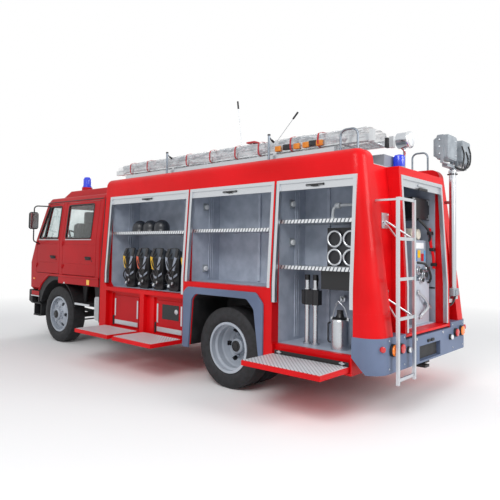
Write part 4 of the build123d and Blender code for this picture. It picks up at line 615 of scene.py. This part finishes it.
# Breathing sets: shoulder straps, hoses, valves and wheels on the stowed cylinders
SET_FIRST, SET_PITCH = 2.225, 0.335
SET_Y, CYLINDER = 0.9, 0.074
FLOOR_PUMP = 1.07
STRAP_COLOURS = ("yellow", "orange", "yellow", "grey", "yellow")
for side, hand in SIDES:
    webbing = {tone: [] for tone in HARNESS}
    hoses, metals, fittings = [], [], []
    for number, colour in enumerate(STRAP_COLOURS):
        x = REAR + SET_FIRST - number * SET_PITCH

        def at(along, out, up):
            """A point from this set's foot: along the truck, out from the cylinder's face, and up."""
            return x + along, side * (SET_Y + CYLINDER + out), FLOOR_PUMP + up

        # Shoulder straps looped over the back plate, in front of the cylinder
        for along, tone in ((0.085, colour), (-0.085, "grey")):
            run = curve_points([at(along, 0.02, 0.59), at(along * 1.15, 0.06, 0.47),
                                at(along * 0.75, 0.066, 0.33), at(along * 0.35, 0.052, 0.2)])
            webbing["black"].append(strap(run[:5], 0.05, 0.012, (1, 0, 0)))
            webbing[tone].append(strap(run[4:10], 0.048, 0.014, (1, 0, 0.3)))
            webbing["black"].append(strap(run[9:], 0.034, 0.01, (1, 0, 0.2)))
        belt = curve_points([at(-0.1, 0.03, 0.24), at(0, 0.062, 0.18), at(0.1, 0.03, 0.25)])
        webbing["grey"].append(strap(belt, 0.03, 0.008, UP))
        for dx, top, low in ((0.03, 0.53, 0.06), (-0.045, 0.56, 0.09)):
            hoses.append(hose([at(dx, 0.01, top), at(dx * 2.6, 0.072, 0.4),
                               at(-dx * 1.8, 0.08, 0.21), at(-dx, 0.046, low)], 0.009))
        fittings.append(disc(at(-0.05, 0.06, 0.11), (0.3, side, 0.2), 0.036, 0.03, 0.006))
        metals.append(disc(at(0.04, 0.052, 0.07), (0, side, 0.4), 0.024, 0.036, 0.005))
        metals.append(disc(at(-0.048, 0.078, 0.114), (0.3, side, 0.2), 0.022, 0.012, 0.003))
        metals.append(block(*zip(at(-0.018, 0.05, 0.285), at(0.018, 0.072, 0.315)), 0.004))
        fittings.append(disc((x, side * SET_Y, FLOOR_PUMP + 0.035), UP, 0.06, 0.06, 0.01))
    for tone, finish in HARNESS.items():
        settle(webbing[tone], f"harness_{tone}_{hand}", finish)
    settle(hoses, f"air_hoses_{hand}", black_moulding)
    settle(fittings, f"valve_bodies_{hand}", black_moulding)
    settle(metals, f"gauges_{hand}", steel_tube)

# Rear compartment: jug bail, ram hooks, nozzle and wall valve. Its tray: shadow gap and hinges
bail = [hose([(-3.15, 0.91, 0.955), (-3.12, 0.915, 1.06), (-3.06, 0.93, 1.115),
              (-3.0, 0.915, 1.06), (-2.97, 0.91, 0.955)], 0.005, 16),
        pipe([(-3.1, 0.94, 1.1), (-3.06, 0.95, 1.14), (-3.02, 0.94, 1.1)], 0.006)]
bail += [block(around(x, 0.012), (0.895, 0.925), (0.935, 0.965), 0.003) for x in (-3.158, -2.962)]
settle(bail, "jug_bail", steel_tube)
NOZZLE = ((-3.25, 0.8, 2.15), (-3.12, 0.82, 2.17), (-2.98, 0.84, 2.16), (-2.93, 0.85, 2.12),
          (-2.925, 0.85, 2.01))
for side, hand in SIDES:
    nozzle = [hose([(x, side * y, z) for x, y, z in NOZZLE], 0.017),
              disc((-2.985, side * 0.84, 2.165), (1, 0, 0), 0.034, 0.06, 0.01, 20),
              disc((-2.925, side * 0.85, 2.02), UP, 0.024, 0.04, 0.006, 20)]
    if side < 0:
        nozzle += [block(around(x, 0.018), (-0.63, -0.69), (z, z + 0.028), 0.004)
                   for x in (-3.24, -2.6) for z in (1.34, 1.16)]
    settle(nozzle, f"shelf_nozzle_{hand}", tank_paint)
    valve = [disc((-2.93, side * 0.64, 1.13), (0, side, 0), 0.036, 0.03, 0.008),
             disc((-2.93, side * 0.67, 1.13), (0, side, 0), 0.02, 0.04, 0.006, 20),
             pipe([(-2.93, side * 0.688, 1.095), (-2.93, side * 0.688, 1.165)], 0.007)]
    settle(valve, f"wall_valve_{hand}", steel_tube)
    band = block(span(-1.69, -0.76), (side * 1.196, side * 1.2012), (0.523, 0.575), 0.001)
    settle(band, f"tray_shadow_gap_{hand}", black_seal_and_shadow)
    hinges = []
    for x in span(-1.62, -0.83):
        hinges.append(pipe([(x - 0.03, side * 1.207, 0.556), (x + 0.03, side * 1.207, 0.556)], 0.009))
        hinges.append(block(around(x, 0.012), (side * 1.2, side * 1.216), (0.54, 0.574), 0.003))
    settle(hinges, f"tray_hinges_{hand}", steel_tube)

# Cab: window seals and sills, handles, swages, arch lips, gutters, lamps, mirror glass, bumper ends
# Half width of the cab's skin at the doors
CAB_SKIN = 1.098
PANES = {
    "f": [[(4.234, 1.812), (4.712, 1.812), (4.597, 2.385), (4.234, 2.385)],
          [(4.738, 1.812), (4.93, 1.812), (4.67, 2.385), (4.623, 2.385)]],
    "r": [[(3.18, 1.812), (3.98, 1.812), (3.98, 2.385), (3.18, 2.385)]],
}
# For each door: the sill's ends, the middle of the grip and the ends of its swages
DOOR_PARTS = {"f": ((4.214, 4.935), 4.39, (4.2, 4.93)), "r": ((3.16, 3.985), 3.24, (3.06, 4.02))}
# Flat pieces of both sides: their limits along, across and up, bevel, finish and body
SIDE_PIECES = {
    "cab_sill": ((2.895, 4.168), (CAB_SKIN, 1.114), (1.034, 1.15), 0.008, cab_red, "cab"),
    "front_marker": ((5.03, 5.1), (CAB_SKIN, 1.109), (1.055, 1.085), 0.004, lens_amber, "cab"),
    "side_reflector": ((3.16, 3.24), (1.113, 1.12), (1.05, 1.13), 0.003, reflector_painted_glint, "cab"),
    "cab_step_edge": ((3.178, 3.632), (1.082, 1.092), (0.697, 0.732), 0.003, frame_aluminium, "cab"),
    "mirror_glass": ((4.792, 4.796), (1.2, 1.34), (2.0, 2.27), 0.0015, chrome, "door_f"),
    "bumper_panel": ((4.855, 5.135), (1.103, 1.109), (0.765, 0.842), 0.002, recess_red, "truck"),
    "bumper_strip": ((4.85, 5.165), (1.103, 1.109), (0.742, 0.76), 0.002, frame_aluminium, "truck"),
}
GUTTER = ((2.93, 1.026, 2.466), (4.72, 1.026, 2.466), (4.8, 1.006, 2.458))
ARCH_LIP = ((2.895, 1.16), (4.3, 1.16), (4.46, 1.16), (4.53, 1.148), (4.74, 1.012), (4.8, 0.945),
            (4.85, 0.872))


def rounded(points, radius, steps=4):
    """Corner points of an outline, each corner replaced by a short arc."""
    out = []
    for index, point in enumerate(points):
        here = Vector(point)
        before = (Vector(points[index - 1]) - here).normalized()
        after = (Vector(points[(index + 1) % len(points)]) - here).normalized()
        reach = radius / max(0.25, before.angle(after) / 2) ** 0.5
        one, two = here + before * reach, here + after * reach
        for step in range(steps + 1):
            t = step / steps
            out.append(one * (1 - t) ** 2 + here * 2 * t * (1 - t) + two * t * t)
    return out


for side, hand in SIDES:
    for place, panes in PANES.items():
        door = f"door_{place}{hand}"
        sill_ends, grip, swage_ends = DOOR_PARTS[place]
        seals = []
        for pane in panes:
            ring = [(REAR + p.x, side * (cab_y(p.y) + 0.001), p.y) for p in rounded(pane, 0.036)]
            seals.append(pipe(ring, 0.011, closed=True))
        settle(seals, f"window_seals_{place}{hand}", black_seal_and_shadow, door)
        sill = block(span(*sill_ends), (side * CAB_SKIN, side * 1.107), (1.782, 1.796), 0.003)
        settle(sill, f"window_sill_{place}{hand}", frame_aluminium, door)
        grip_x = REAR + grip
        handle = [block(around(grip_x, 0.085), (side * CAB_SKIN, side * 1.105), (1.452, 1.508), 0.004),
                  hose([(grip_x - 0.07, side * 1.104, 1.476), (grip_x - 0.055, side * 1.128, 1.482),
                        (grip_x + 0.045, side * 1.13, 1.492), (grip_x + 0.072, side * 1.104, 1.496)],
                       0.011),
                  disc((grip_x - 0.11, side * 1.102, 1.44), (0, side, 0), 0.01, 0.01)]
        settle(handle, f"door_handle_{place}{hand}", black_moulding, door)
        swages = [pipe([(x, side * (CAB_SKIN + 0.0005), z) for x in span(*swage_ends)], 0.006)
                  for z in (1.715, 1.383)]
        settle(swages, f"door_swages_{place}{hand}", cab_red, door)
    lip = pipe([(REAR + x, side * 1.103, z) for x, z in ARCH_LIP], 0.022)
    settle(lip, f"arch_lip_{hand}", cab_red, "cab")
    gutter = pipe([(REAR + x, side * y, z) for x, y, z in GUTTER], 0.008)
    settle(gutter, f"roof_gutter_{hand}", black_seal_and_shadow, "cab")
    lamp = disc((REAR + 3.95, side * 1.116, 1.046), (0, side, 0), 0.016, 0.014, 0.004)
    settle(lamp, f"sill_lamp_{hand}", lens_white, "cab")
    for name, (ends, y, z, bevel, finish, body) in SIDE_PIECES.items():
        piece = block(span(*ends), (side * y[0], side * y[1]), z, bevel)
        settle(piece, f"{name}_{hand}", finish, f"{body}{hand}" if body == "door_f" else body)

# Wipers, laid on the windscreen's slope: how far it leans back for each metre above its foot
SCREEN_SLOPE, SCREEN_FOOT = 0.433, 1.79
WIPER_FOOT, WIPER_KNEE = 1.815, 1.88


def off_screen(out, y, z, level=None):
    """A point in front of the leaning windscreen, measured out at its own height or at a level."""
    return REAR + out - SCREEN_SLOPE * ((z if level is None else level) - SCREEN_FOOT), y, z


wipers = []
for y, tip in ((0.55, 0.1), (-0.1, -0.55)):
    wipers.append(pipe([off_screen(5.15, y, WIPER_FOOT - 0.02, WIPER_FOOT),
                        off_screen(5.163, y - 0.04, WIPER_FOOT),
                        off_screen(5.163, tip + 0.1, WIPER_KNEE)], 0.008))
    wipers.append(pipe([off_screen(5.154, tip + 0.32, WIPER_KNEE - 0.035),
                        off_screen(5.154, tip - 0.12, WIPER_KNEE + 0.03)], 0.007))
settle(wipers, "wipers", black_moulding, "cab")


def cushion(x, y, z, crown, axis=2, seams=()):
    """A padded cushion: rounded form, crowned on one face, drawn in along its sewn channels."""
    pick()
    bpy.ops.mesh.primitive_cube_add(size=2)
    made = bpy.context.active_object
    bpy.ops.object.mode_set(mode="EDIT")
    bpy.ops.mesh.select_all(action="SELECT")
    bpy.ops.mesh.subdivide(number_cuts=15)
    bpy.ops.object.mode_set(mode="OBJECT")
    half = [abs(limits[1] - limits[0]) / 2 for limits in (x, y, z)]
    centre = Vector([sum(limits) / 2 for limits in (x, y, z)])
    for vert in made.data.vertices:
        # Superellipse rounding of all edges, then the crown and the channels
        out = vert.co / sum(abs(part) ** 8 for part in vert.co) ** (1 / 8)
        lift = 0.0
        if out[axis] > 0:
            across, length = [1 - out[k] ** 2 for k in range(3) if k != axis]
            lift = crown * max(0.0, across) ** 0.6 * max(0.0, length) ** 0.6
            for channel in seams:
                lift -= crown * 0.9 * max(0.0, 1 - abs(out.y - channel) / 0.05)
        vert.co = Vector([out[k] * half[k] for k in range(3)]) + centre
        vert.co[axis] += lift
    pick(made)
    bpy.ops.object.shade_smooth_by_angle(angle=radians(60))
    return made


cushions = []
for side in (1, -1):
    y = (side * 0.392, side * 0.908)
    cushions.append(cushion(span(3.955, 4.43), y, (1.5, 1.59), 0.035, 2, (-0.5, 0.5)))
    cushions.append(cushion(span(3.985, 4.045), y, (1.62, 2.08), 0.04, 0, (-0.45, 0.45)))
    cushions.append(cushion(span(3.845, 3.955), (side * 0.535, side * 0.765), (2.085, 2.29), 0.015, 0))
for y in ((-0.94, -0.32), (-0.31, 0.31), (0.32, 0.94)):
    cushions.append(cushion(span(2.965, 3.43), y, (1.52, 1.61), 0.035, 2, (0.0,)))
    cushions.append(cushion(span(3.02, 3.085), y, (1.62, 2.13), 0.04, 0, (0.0,)))
settle(cushions, "seat_cushions", cushion_cloth, "cab")

# Fuel tank: pressed ribs
ribs = [block(span(x, x + 0.016), (1.016, 1.026), (0.52, 0.82), 0.003)
        for x in (2.84 + 0.04 * k for k in range(7))]
settle(ribs, "tank_ribs", tank_paint)

# Rear: lamp lenses, bumper and ladder bolts, plates, mast foot and shutter grip
BACK = REAR - 2.015
# For each lens: its finish, and the place across, the height and the radius of its domes
LENSES = {
    "amber": (lens_amber, [(0.925, 0.705, 0.056)]),
    "red": (lens_red, [(0.745, 0.7, 0.046), (1.1, 0.73, 0.03)]),
    "white": (lens_white, [(0.575, 0.665, 0.029)]),
}
for side, hand in SIDES:
    for tone, (finish, places) in LENSES.items():
        domes = []
        for y, z, radius in places:
            if y > 1.0:
                place, axis, depth = BACK + 0.012, (-0.88, side * 0.47, 0), 0.03
            else:
                place, axis, depth = BACK - 0.03, AFT, 0.022
            domes.append(disc((place, side * y, z), axis, radius, depth, 0.009, 32))
        settle(domes, f"rear_lens_{tone}_{hand}", finish)
bolts = [disc((BACK - 0.002, y, z), AFT, 0.009, 0.01, 0.003, 12)
         for y in (-0.99, -0.66, 0.66, 0.99) for z in (0.53, 0.8)]
bolts += [disc((BACK - 0.002, y, 0.745), AFT, 0.016, 0.012, 0.004, 16) for y in (-0.36, 0.36)]
bolts += [disc((REAR - 1.861, y, z + dz), AFT, 0.009, 0.01, 0.003, 6)
          for z in (1.99, 1.195) for y in (0.705, 0.825) for dz in (-0.062, 0.062)]
bolts += [disc((REAR - 1.856, 0.8, z), AFT, 0.019, 0.016, 0.005, 20) for z in (1.44, 1.36)]
settle(bolts, "rear_bolts", steel_tube)
settle(block((BACK + 0.036, BACK + 0.042), (-0.262, 0.262), (0.51, 0.65)), "blank_plate", black_moulding)
plate_lamps = [block((BACK - 0.016, BACK + 0.004), around(y, 0.035), (0.682, 0.712), 0.005)
               for y in (-0.05, 0.05)]
settle(plate_lamps, "plate_lamps", black_moulding)
mast_x, mast_y = REAR - 1.98, -0.78
box = [block((mast_x - 0.05, mast_x + 0.04), (mast_y - 0.07, mast_y + 0.11), (1.14, 1.23), 0.008),
       block((mast_x - 0.062, mast_x - 0.046), (mast_y - 0.03, mast_y + 0.06), (1.15, 1.21), 0.006)]
settle(box, "mast_foot_box", lamp_grey)
lead = hose([(mast_x - 0.04, mast_y + 0.02, 1.15), (mast_x - 0.03, mast_y + 0.09, 1.06),
             (mast_x + 0.02, mast_y + 0.14, 1.02), (REAR - 1.862, mast_y + 0.15, 1.045)], 0.011)
settle(lead, "mast_foot_lead", cable_black)
settle(disc((mast_x, mast_y, 2.64), UP, 0.062, 0.012, 0.003, 32), "mast_collar", chassis_black)
grip = block(span(-1.943, -1.929), (-0.115, 0.115), (2.362, 2.392), 0.004)
settle(grip, "rear_shutter_grip", black_moulding)

# Rear bay: couplings with their grips, pipes, hose rolls, control plates, wall tool and clips
COUPLINGS = ((-0.18, 1.45, 0.052, 0.026), (-0.33, 1.4, 0.06, 0.032), (-0.24, 1.34, 0.048, 0.022),
             (-0.43, 1.47, 0.04, None))
couplings, grips = [], []
for y, z, radius, grip in COUPLINGS:
    couplings.append(disc((REAR - 1.785, y, z), AFT, radius, 0.05, 0.01))
    couplings.append(disc((REAR - 1.815, y, z), AFT, radius * 0.72, 0.03, 0.008))
    if grip:
        grips.append(disc((REAR - 1.835, y, z), AFT, grip, 0.016, 0.005, 16))
couplings += [
    pipe([(REAR - 1.812, -0.15, 1.2), (REAR - 1.84, -0.26, 1.12), (REAR - 1.84, -0.43, 1.0)], 0.014),
    disc((REAR - 1.812, -0.15, 1.2), AFT, 0.03, 0.024, 0.006, 20),
    hose([(REAR - 1.806, -0.36, 1.08), (REAR - 1.85, -0.33, 1.02), (REAR - 1.84, -0.24, 0.96),
          (REAR - 1.806, -0.2, 0.9)], 0.02),
]
settle(couplings, "pump_couplings", steel_tube)
grips.append(hose([(REAR - 1.8, -0.16, 1.545), (REAR - 1.86, -0.26, 1.52),
                   (REAR - 1.86, -0.4, 1.38), (REAR - 1.81, -0.45, 1.3)], 0.014))
settle(grips, "coupling_grips", black_moulding)
rolls = [disc((REAR - 1.7, y, 1.88), AFT, 0.066, 0.11, 0.016, 28) for y in (-0.165, -0.305)]
settle(rolls, "hose_rolls", canvas_cream)
CONTROL_PLATES = {
    "blue": ("#1E6FB8", (-0.235, -0.13), (1.56, 1.69)),
    "yellow": ("#E6B822", (-0.325, -0.25), (1.6, 1.69)),
    "white": ("#E4E6E8", (-0.42, -0.14), (1.71, 1.78)),
    "red": ("#B81C22", (-0.42, -0.345), (1.56, 1.65)),
    "sky": ("#4AA0D8", (-0.47, -0.435), (1.56, 1.69)),
}
for name, (code, y, z) in CONTROL_PLATES.items():
    # Flat painted plate, without words
    paint = moulded(f"{name}_control_panel", code, code, 0.5)
    settle(block(span(-1.7635, -1.7605), y, z, 0.001), f"control_panel_{name}", paint)
corners = [block(span(-1.786, -1.779), (y, y + 0.06), (z, z + 0.012))
           for y in (-0.53, -0.13) for z in (2.066, 2.292)]
corners += [block(span(-1.786, -1.779), (y, y + 0.012), (z, z + 0.06))
            for y in (-0.53, -0.082) for z in (2.066, 2.244)]
settle(corners, "hose_box_corners", frame_aluminium)
wall = -0.5475
TOOL = ((1.8, 1.96), (1.815, 1.76), (1.845, 1.62), (1.85, 1.47))
settle(hose([(REAR - x, wall + 0.04, z) for x, z in TOOL], 0.018), "wall_tool", paint_red)
clips = [block(around(REAR - x, 0.03), (wall, wall + 0.062), (z, z + 0.04), 0.006)
         for x, z in ((1.805, 1.88), (1.83, 1.68), (1.848, 1.5))]
clips.append(block(span(-1.85, -0.93), (wall, wall + 0.006), (1.225, 1.245)))
clips.append(hose([(REAR - 1.79, -0.2, 2.06), (REAR - 1.84, -0.32, 1.96),
                   (REAR - 1.83, -0.45, 1.88), (REAR - 1.8, wall + 0.045, 1.8)], 0.015))
settle(clips, "wall_clips", black_moulding)

# Mast head: lids, screws and cable loops
LAMP_X, LAMP_Z = REAR - 2.0, 2.93
lids, screws = [], []
for side in (1, -1):
    y = mast_y + side * 0.235
    lids.append(block((LAMP_X - 0.071, LAMP_X - 0.064), around(y, 0.138), around(LAMP_Z, 0.132), 0.003))
    lids.append(block((LAMP_X - 0.02, LAMP_X + 0.064), around(y, 0.1525), around(LAMP_Z, 0.1475), 0.012))
    for z in (LAMP_Z - 0.085, LAMP_Z, LAMP_Z + 0.085):
        screws.append(disc((LAMP_X - 0.073, y - 0.1, z), AFT, 0.011, 0.01, 0.003, 16))
        screws.append(disc((LAMP_X + 0.03, y + 0.155, z), (0, 1, 0), 0.011, 0.01, 0.003, 16))
settle(lids, "lamp_lids", lamp_grey, "mast")
settle(screws, "lamp_screws", steel_tube, "mast")
loops = []
for end, high, out, low in ((0.02, 2.99, 0.1, 2.76), (0.01, 3.02, 0.33, 2.765), (0.0, 2.94, 0.245, 2.745)):
    y = mast_y - out
    loops.append(hose([(LAMP_X - 0.077, y + 0.04, high), (LAMP_X - 0.08, y - 0.03, high - 0.09),
                       (LAMP_X - 0.079, y, low + 0.03), (LAMP_X - 0.07, mast_y - out / 2, low - 0.05),
                       (LAMP_X - end, mast_y + 0.02, 2.735)], 0.009, 20))
settle(loops, "lamp_cables", cable_black, "mast")

# Roof: the wrapping film, a flat sheet rolled round the ladder, its length along X
FILM_X = span(-1.64, 2.88)
FILM_Y, FILM_Z, FILM_FOOT = 0.55, 2.932, 2.836


def squarish(turn, half_y, half_z):
    """Place across and height on a rounded rectangle, at an angle round it."""
    flat = (abs(cos(turn)) ** 5 + abs(sin(turn)) ** 5) ** 0.2
    return half_y * cos(turn) / flat, half_z * sin(turn) / flat


creases = random.Random(7)
pick()
bpy.ops.mesh.primitive_grid_add(x_subdivisions=150, y_subdivisions=26, size=1)
wrap = bpy.context.active_object
for vert in wrap.data.vertices:
    t, turn = vert.co.x + 0.5, 2 * pi * (vert.co.y + 0.5)
    full = 1.0 if 0.05 < t < 0.97 else 0.93
    tall = (0.07 if t > 0.93 else 0.094) if sin(turn) > 0 else 0.088
    y, z = squarish(turn, full * 0.268, full * tall)
    fold = 0.006 * sin(11 * turn + 9.0 * t * pi + 1.3 * sin(40 * t))
    if vert.co.y < 0.499:
        fold += creases.uniform(-0.004, 0.004)
    vert.co = (FILM_X[0] + (FILM_X[1] - FILM_X[0]) * t, FILM_Y + y + fold * cos(turn),
               max(FILM_Z + z + fold * sin(turn), FILM_FOOT))
bpy.ops.object.mode_set(mode="EDIT")
bpy.ops.mesh.select_all(action="SELECT")
bpy.ops.mesh.remove_doubles(threshold=0.006)
bpy.ops.mesh.normals_make_consistent(inside=False)
bpy.ops.object.mode_set(mode="OBJECT")
bpy.ops.object.shade_smooth_by_angle(angle=radians(70))
settle(wrap, "ladder_film", film_wrap)

# Roof: lashings, chocks, pads, knobs and aerial tips, edge caps, searchlight face and beacon
lashings = []
for x in (2.5, 2.07, 1.17, 0.69, 0.22, -0.18, -0.68, -1.07):
    loop = []
    for turn in (2 * pi * k / 28 for k in range(29)):
        y, z = squarish(turn, 0.279, 0.101)
        loop.append((REAR + x + 0.01 * cos(turn), FILM_Y + y, max(FILM_Z + z, FILM_FOOT + 0.002)))
    lashings.append(strap(loop, 0.02, 0.004, (1, 0, 0)))
lashings.append(block(span(-0.08, 0.06), (0.7, 0.8), (3.028, 3.05), 0.006))
settle(lashings, "ladder_lashings", red_strap)
wedges = [block(span(x, x + 0.09), (0.802, 0.828), (2.862, 2.93), 0.01)
          for x in (-0.52, -0.8, -0.93, -1.12)]
settle(wedges, "ladder_chocks", orange_block)
pads = [block(span(x, x + 0.11), (0.801, 0.826), (2.87, 2.936), 0.01) for x in (-0.66, -1.04)]
pads += [block(around(REAR + x, 0.022), around(y, 0.03), (low, low + 0.115), 0.008)
         for x, y, low in ((-1.64, 0.64, 2.87), (-1.664, 0.33, 2.84))]
settle(pads, "ladder_pads", black_moulding)
knobs = []
for x in span(1.51, -0.405):
    knobs.append(disc((x, 0.905, 3.06), UP, 0.019, 0.02, 0.004, 20))
    knobs.append(disc((x, 0.835, 2.997), (0, -1, -0.4), 0.014, 0.05, 0.004, 16))
AERIAL_FOOT = Vector((REAR + 0.8, -0.02, 2.627))
for tip in (Vector((REAR + 0.98, -0.02, 3.93)), Vector((REAR - 0.16, -0.02, 3.575))):
    run = (AERIAL_FOOT - tip).normalized()
    knobs.append(disc(tip + run * 0.062, run, 0.013, 0.12, 0.004, 16))
settle(knobs, "roof_tips", black_moulding)
caps = [disc((x, 0.85, 2.742), UP, 0.032, 0.026, 0.009) for x in span(1.24, -0.57)]
settle(caps, "roof_edge_caps", paint_red)
bezel = disc((REAR - 1.796, 0.04, 2.965), AFT, 0.1, 0.03, 0.01, 40)
settle(bezel, "searchlight_bezel", chrome)
face = disc((REAR - 1.814, 0.04, 2.965), AFT, 0.08, 0.012, 0.005, 40)
settle(face, "searchlight_face", lens_white)
lead = hose([(REAR - 1.68, 0.04, 2.89), (REAR - 1.76, 0.08, 2.8), (REAR - 1.7, 0.14, 2.72),
             (REAR - 1.72, 0.2, 2.64), (REAR - 1.66, 0.26, 2.63)], 0.007, 24)
settle(lead, "searchlight_lead", red_strap)
settle(disc((REAR - 1.78, 0.28, 2.675), UP, 0.064, 0.16, 0.03, 32), "rear_beacon_dome", beacon_blue)

# Body sides: black strips painted as the shadow in the gaps beside the shutter guides, and a dark strip
# along the body's front seam
SHADOW_STRIP_FOOT = {"pump": 1.13, "middle": 1.245, "rear": 1.09}
seam_and_shadow_strips = []
for side in (1, -1):
    for name, (back, fore, base) in COMPARTMENTS.items():
        # Painted shadow: a thin black bar in the gap beside each shutter guide
        seam_and_shadow_strips.append(pipe([(REAR + fore + 0.046, side * (side_y(z) + 0.001), z)
                          for z in (SHADOW_STRIP_FOOT[name], WAIST, HEAD)], 0.006))
    seam_and_shadow_strips.append(pipe([(REAR + 2.722, side * (side_y(z) - 0.002), z) for z in (0.5, WAIST, 2.45)], 0.006))
settle(seam_and_shadow_strips, "guide_seam_and_shadow_strips", black_seal_and_shadow)

# Floor, light and camera

def show_apart(tree, plain, bright, output, share=1.0):
    """Shows a second shader to the camera and to mirrored and refracted rays, as far as a share says."""
    paths = add_node(tree, "LightPath").outputs
    seen = calc(tree, "MAXIMUM", paths["Is Camera Ray"], paths["Is Glossy Ray"])
    seen = calc(tree, "MAXIMUM", seen, paths["Is Transmission Ray"])
    seen = calc(tree, "MULTIPLY", seen, share)
    mixed = add_node(tree, "MixShader", {0: seen, 1: plain, 2: bright})
    tree.links.new(mixed.outputs["Shader"], tree.nodes[output].inputs["Surface"])


# Pale matt floor that glows into plain white away from the truck
bpy.ops.mesh.primitive_plane_add(size=120)
floor = bpy.context.active_object
floor.name = "studio_floor"
floor_mat, tree, shader = new_finish("pale_floor", "#F2F2F2", 0.9)
ring = add_node(tree, "TexGradient", {"Vector": object_place(tree, (1 / 11, 1 / 11, 1))},
                gradient_type="SPHERICAL")
fade = add_node(tree, "MapRange", {"Value": ring.outputs["Fac"], "From Max": 0.45})
glow = add_node(tree, "Emission")
show_apart(tree, shader, glow, "Material Output", calc(tree, "SUBTRACT", 1.0, fade))
floor.data.materials.append(floor_mat)

world = bpy.data.worlds.new("studio")
bpy.context.scene.world = world
world.use_nodes = True
tree = world.node_tree
plain = tree.nodes["Background"]
plain.inputs["Color"].default_value = linear("#F7F9FC")
plain.inputs["Strength"].default_value = 0.62
bright = add_node(tree, "Background", {"Color": (1, 1, 1, 1), "Strength": 1.0})
show_apart(tree, plain, bright, "World Output")


def softbox(name, place, aim, size, power):
    """A square soft lamp at a place, aimed at a point."""
    lamp = bpy.data.lights.new(name, "AREA")
    lamp.size = size
    lamp.energy = power
    holder = new_object(name, lamp)
    holder.location = place
    holder.rotation_euler = (Vector(aim) - Vector(place)).to_track_quat("-Z", "Y").to_euler()


softbox("key_light", (-5.0, 9.0, 8.0), (0, 0.5, 1.2), 5.0, 600)
softbox("rear_light", (-10.0, -1.0, 5.0), (-2, 0, 1.4), 4.0, 380)
softbox("far_light", (6.0, -8.0, 6.0), (0, 0, 1.5), 5.0, 320)

# The photo's camera, solved in pixels of the picture, then in metres in the shared frame
PICTURE, FOCAL, CENTRE_X, CENTRE_Y = 500, 520.85, 241.67, 223.32
eye = bpy.data.cameras.new("photo_camera")
eye.sensor_width = 36
eye.lens = FOCAL * 36 / PICTURE
eye.shift_x = (PICTURE / 2 - CENTRE_X) / PICTURE
eye.shift_y = (CENTRE_Y - PICTURE / 2) / PICTURE
camera = new_object("photo_camera", eye)
right = Vector((-0.74089, -0.67147, 0.01439))
upward = Vector((-0.02164, 0.04528, 0.99874))
ahead = Vector((0.67128, -0.73965, 0.04808))
turned = Matrix((right, upward, -ahead)).transposed().to_4x4()
camera.matrix_world = Matrix.Translation((-6.022, 5.753, 1.682)) @ turned
bpy.context.scene.camera = camera
bpy.context.scene.view_settings.view_transform = "Standard"
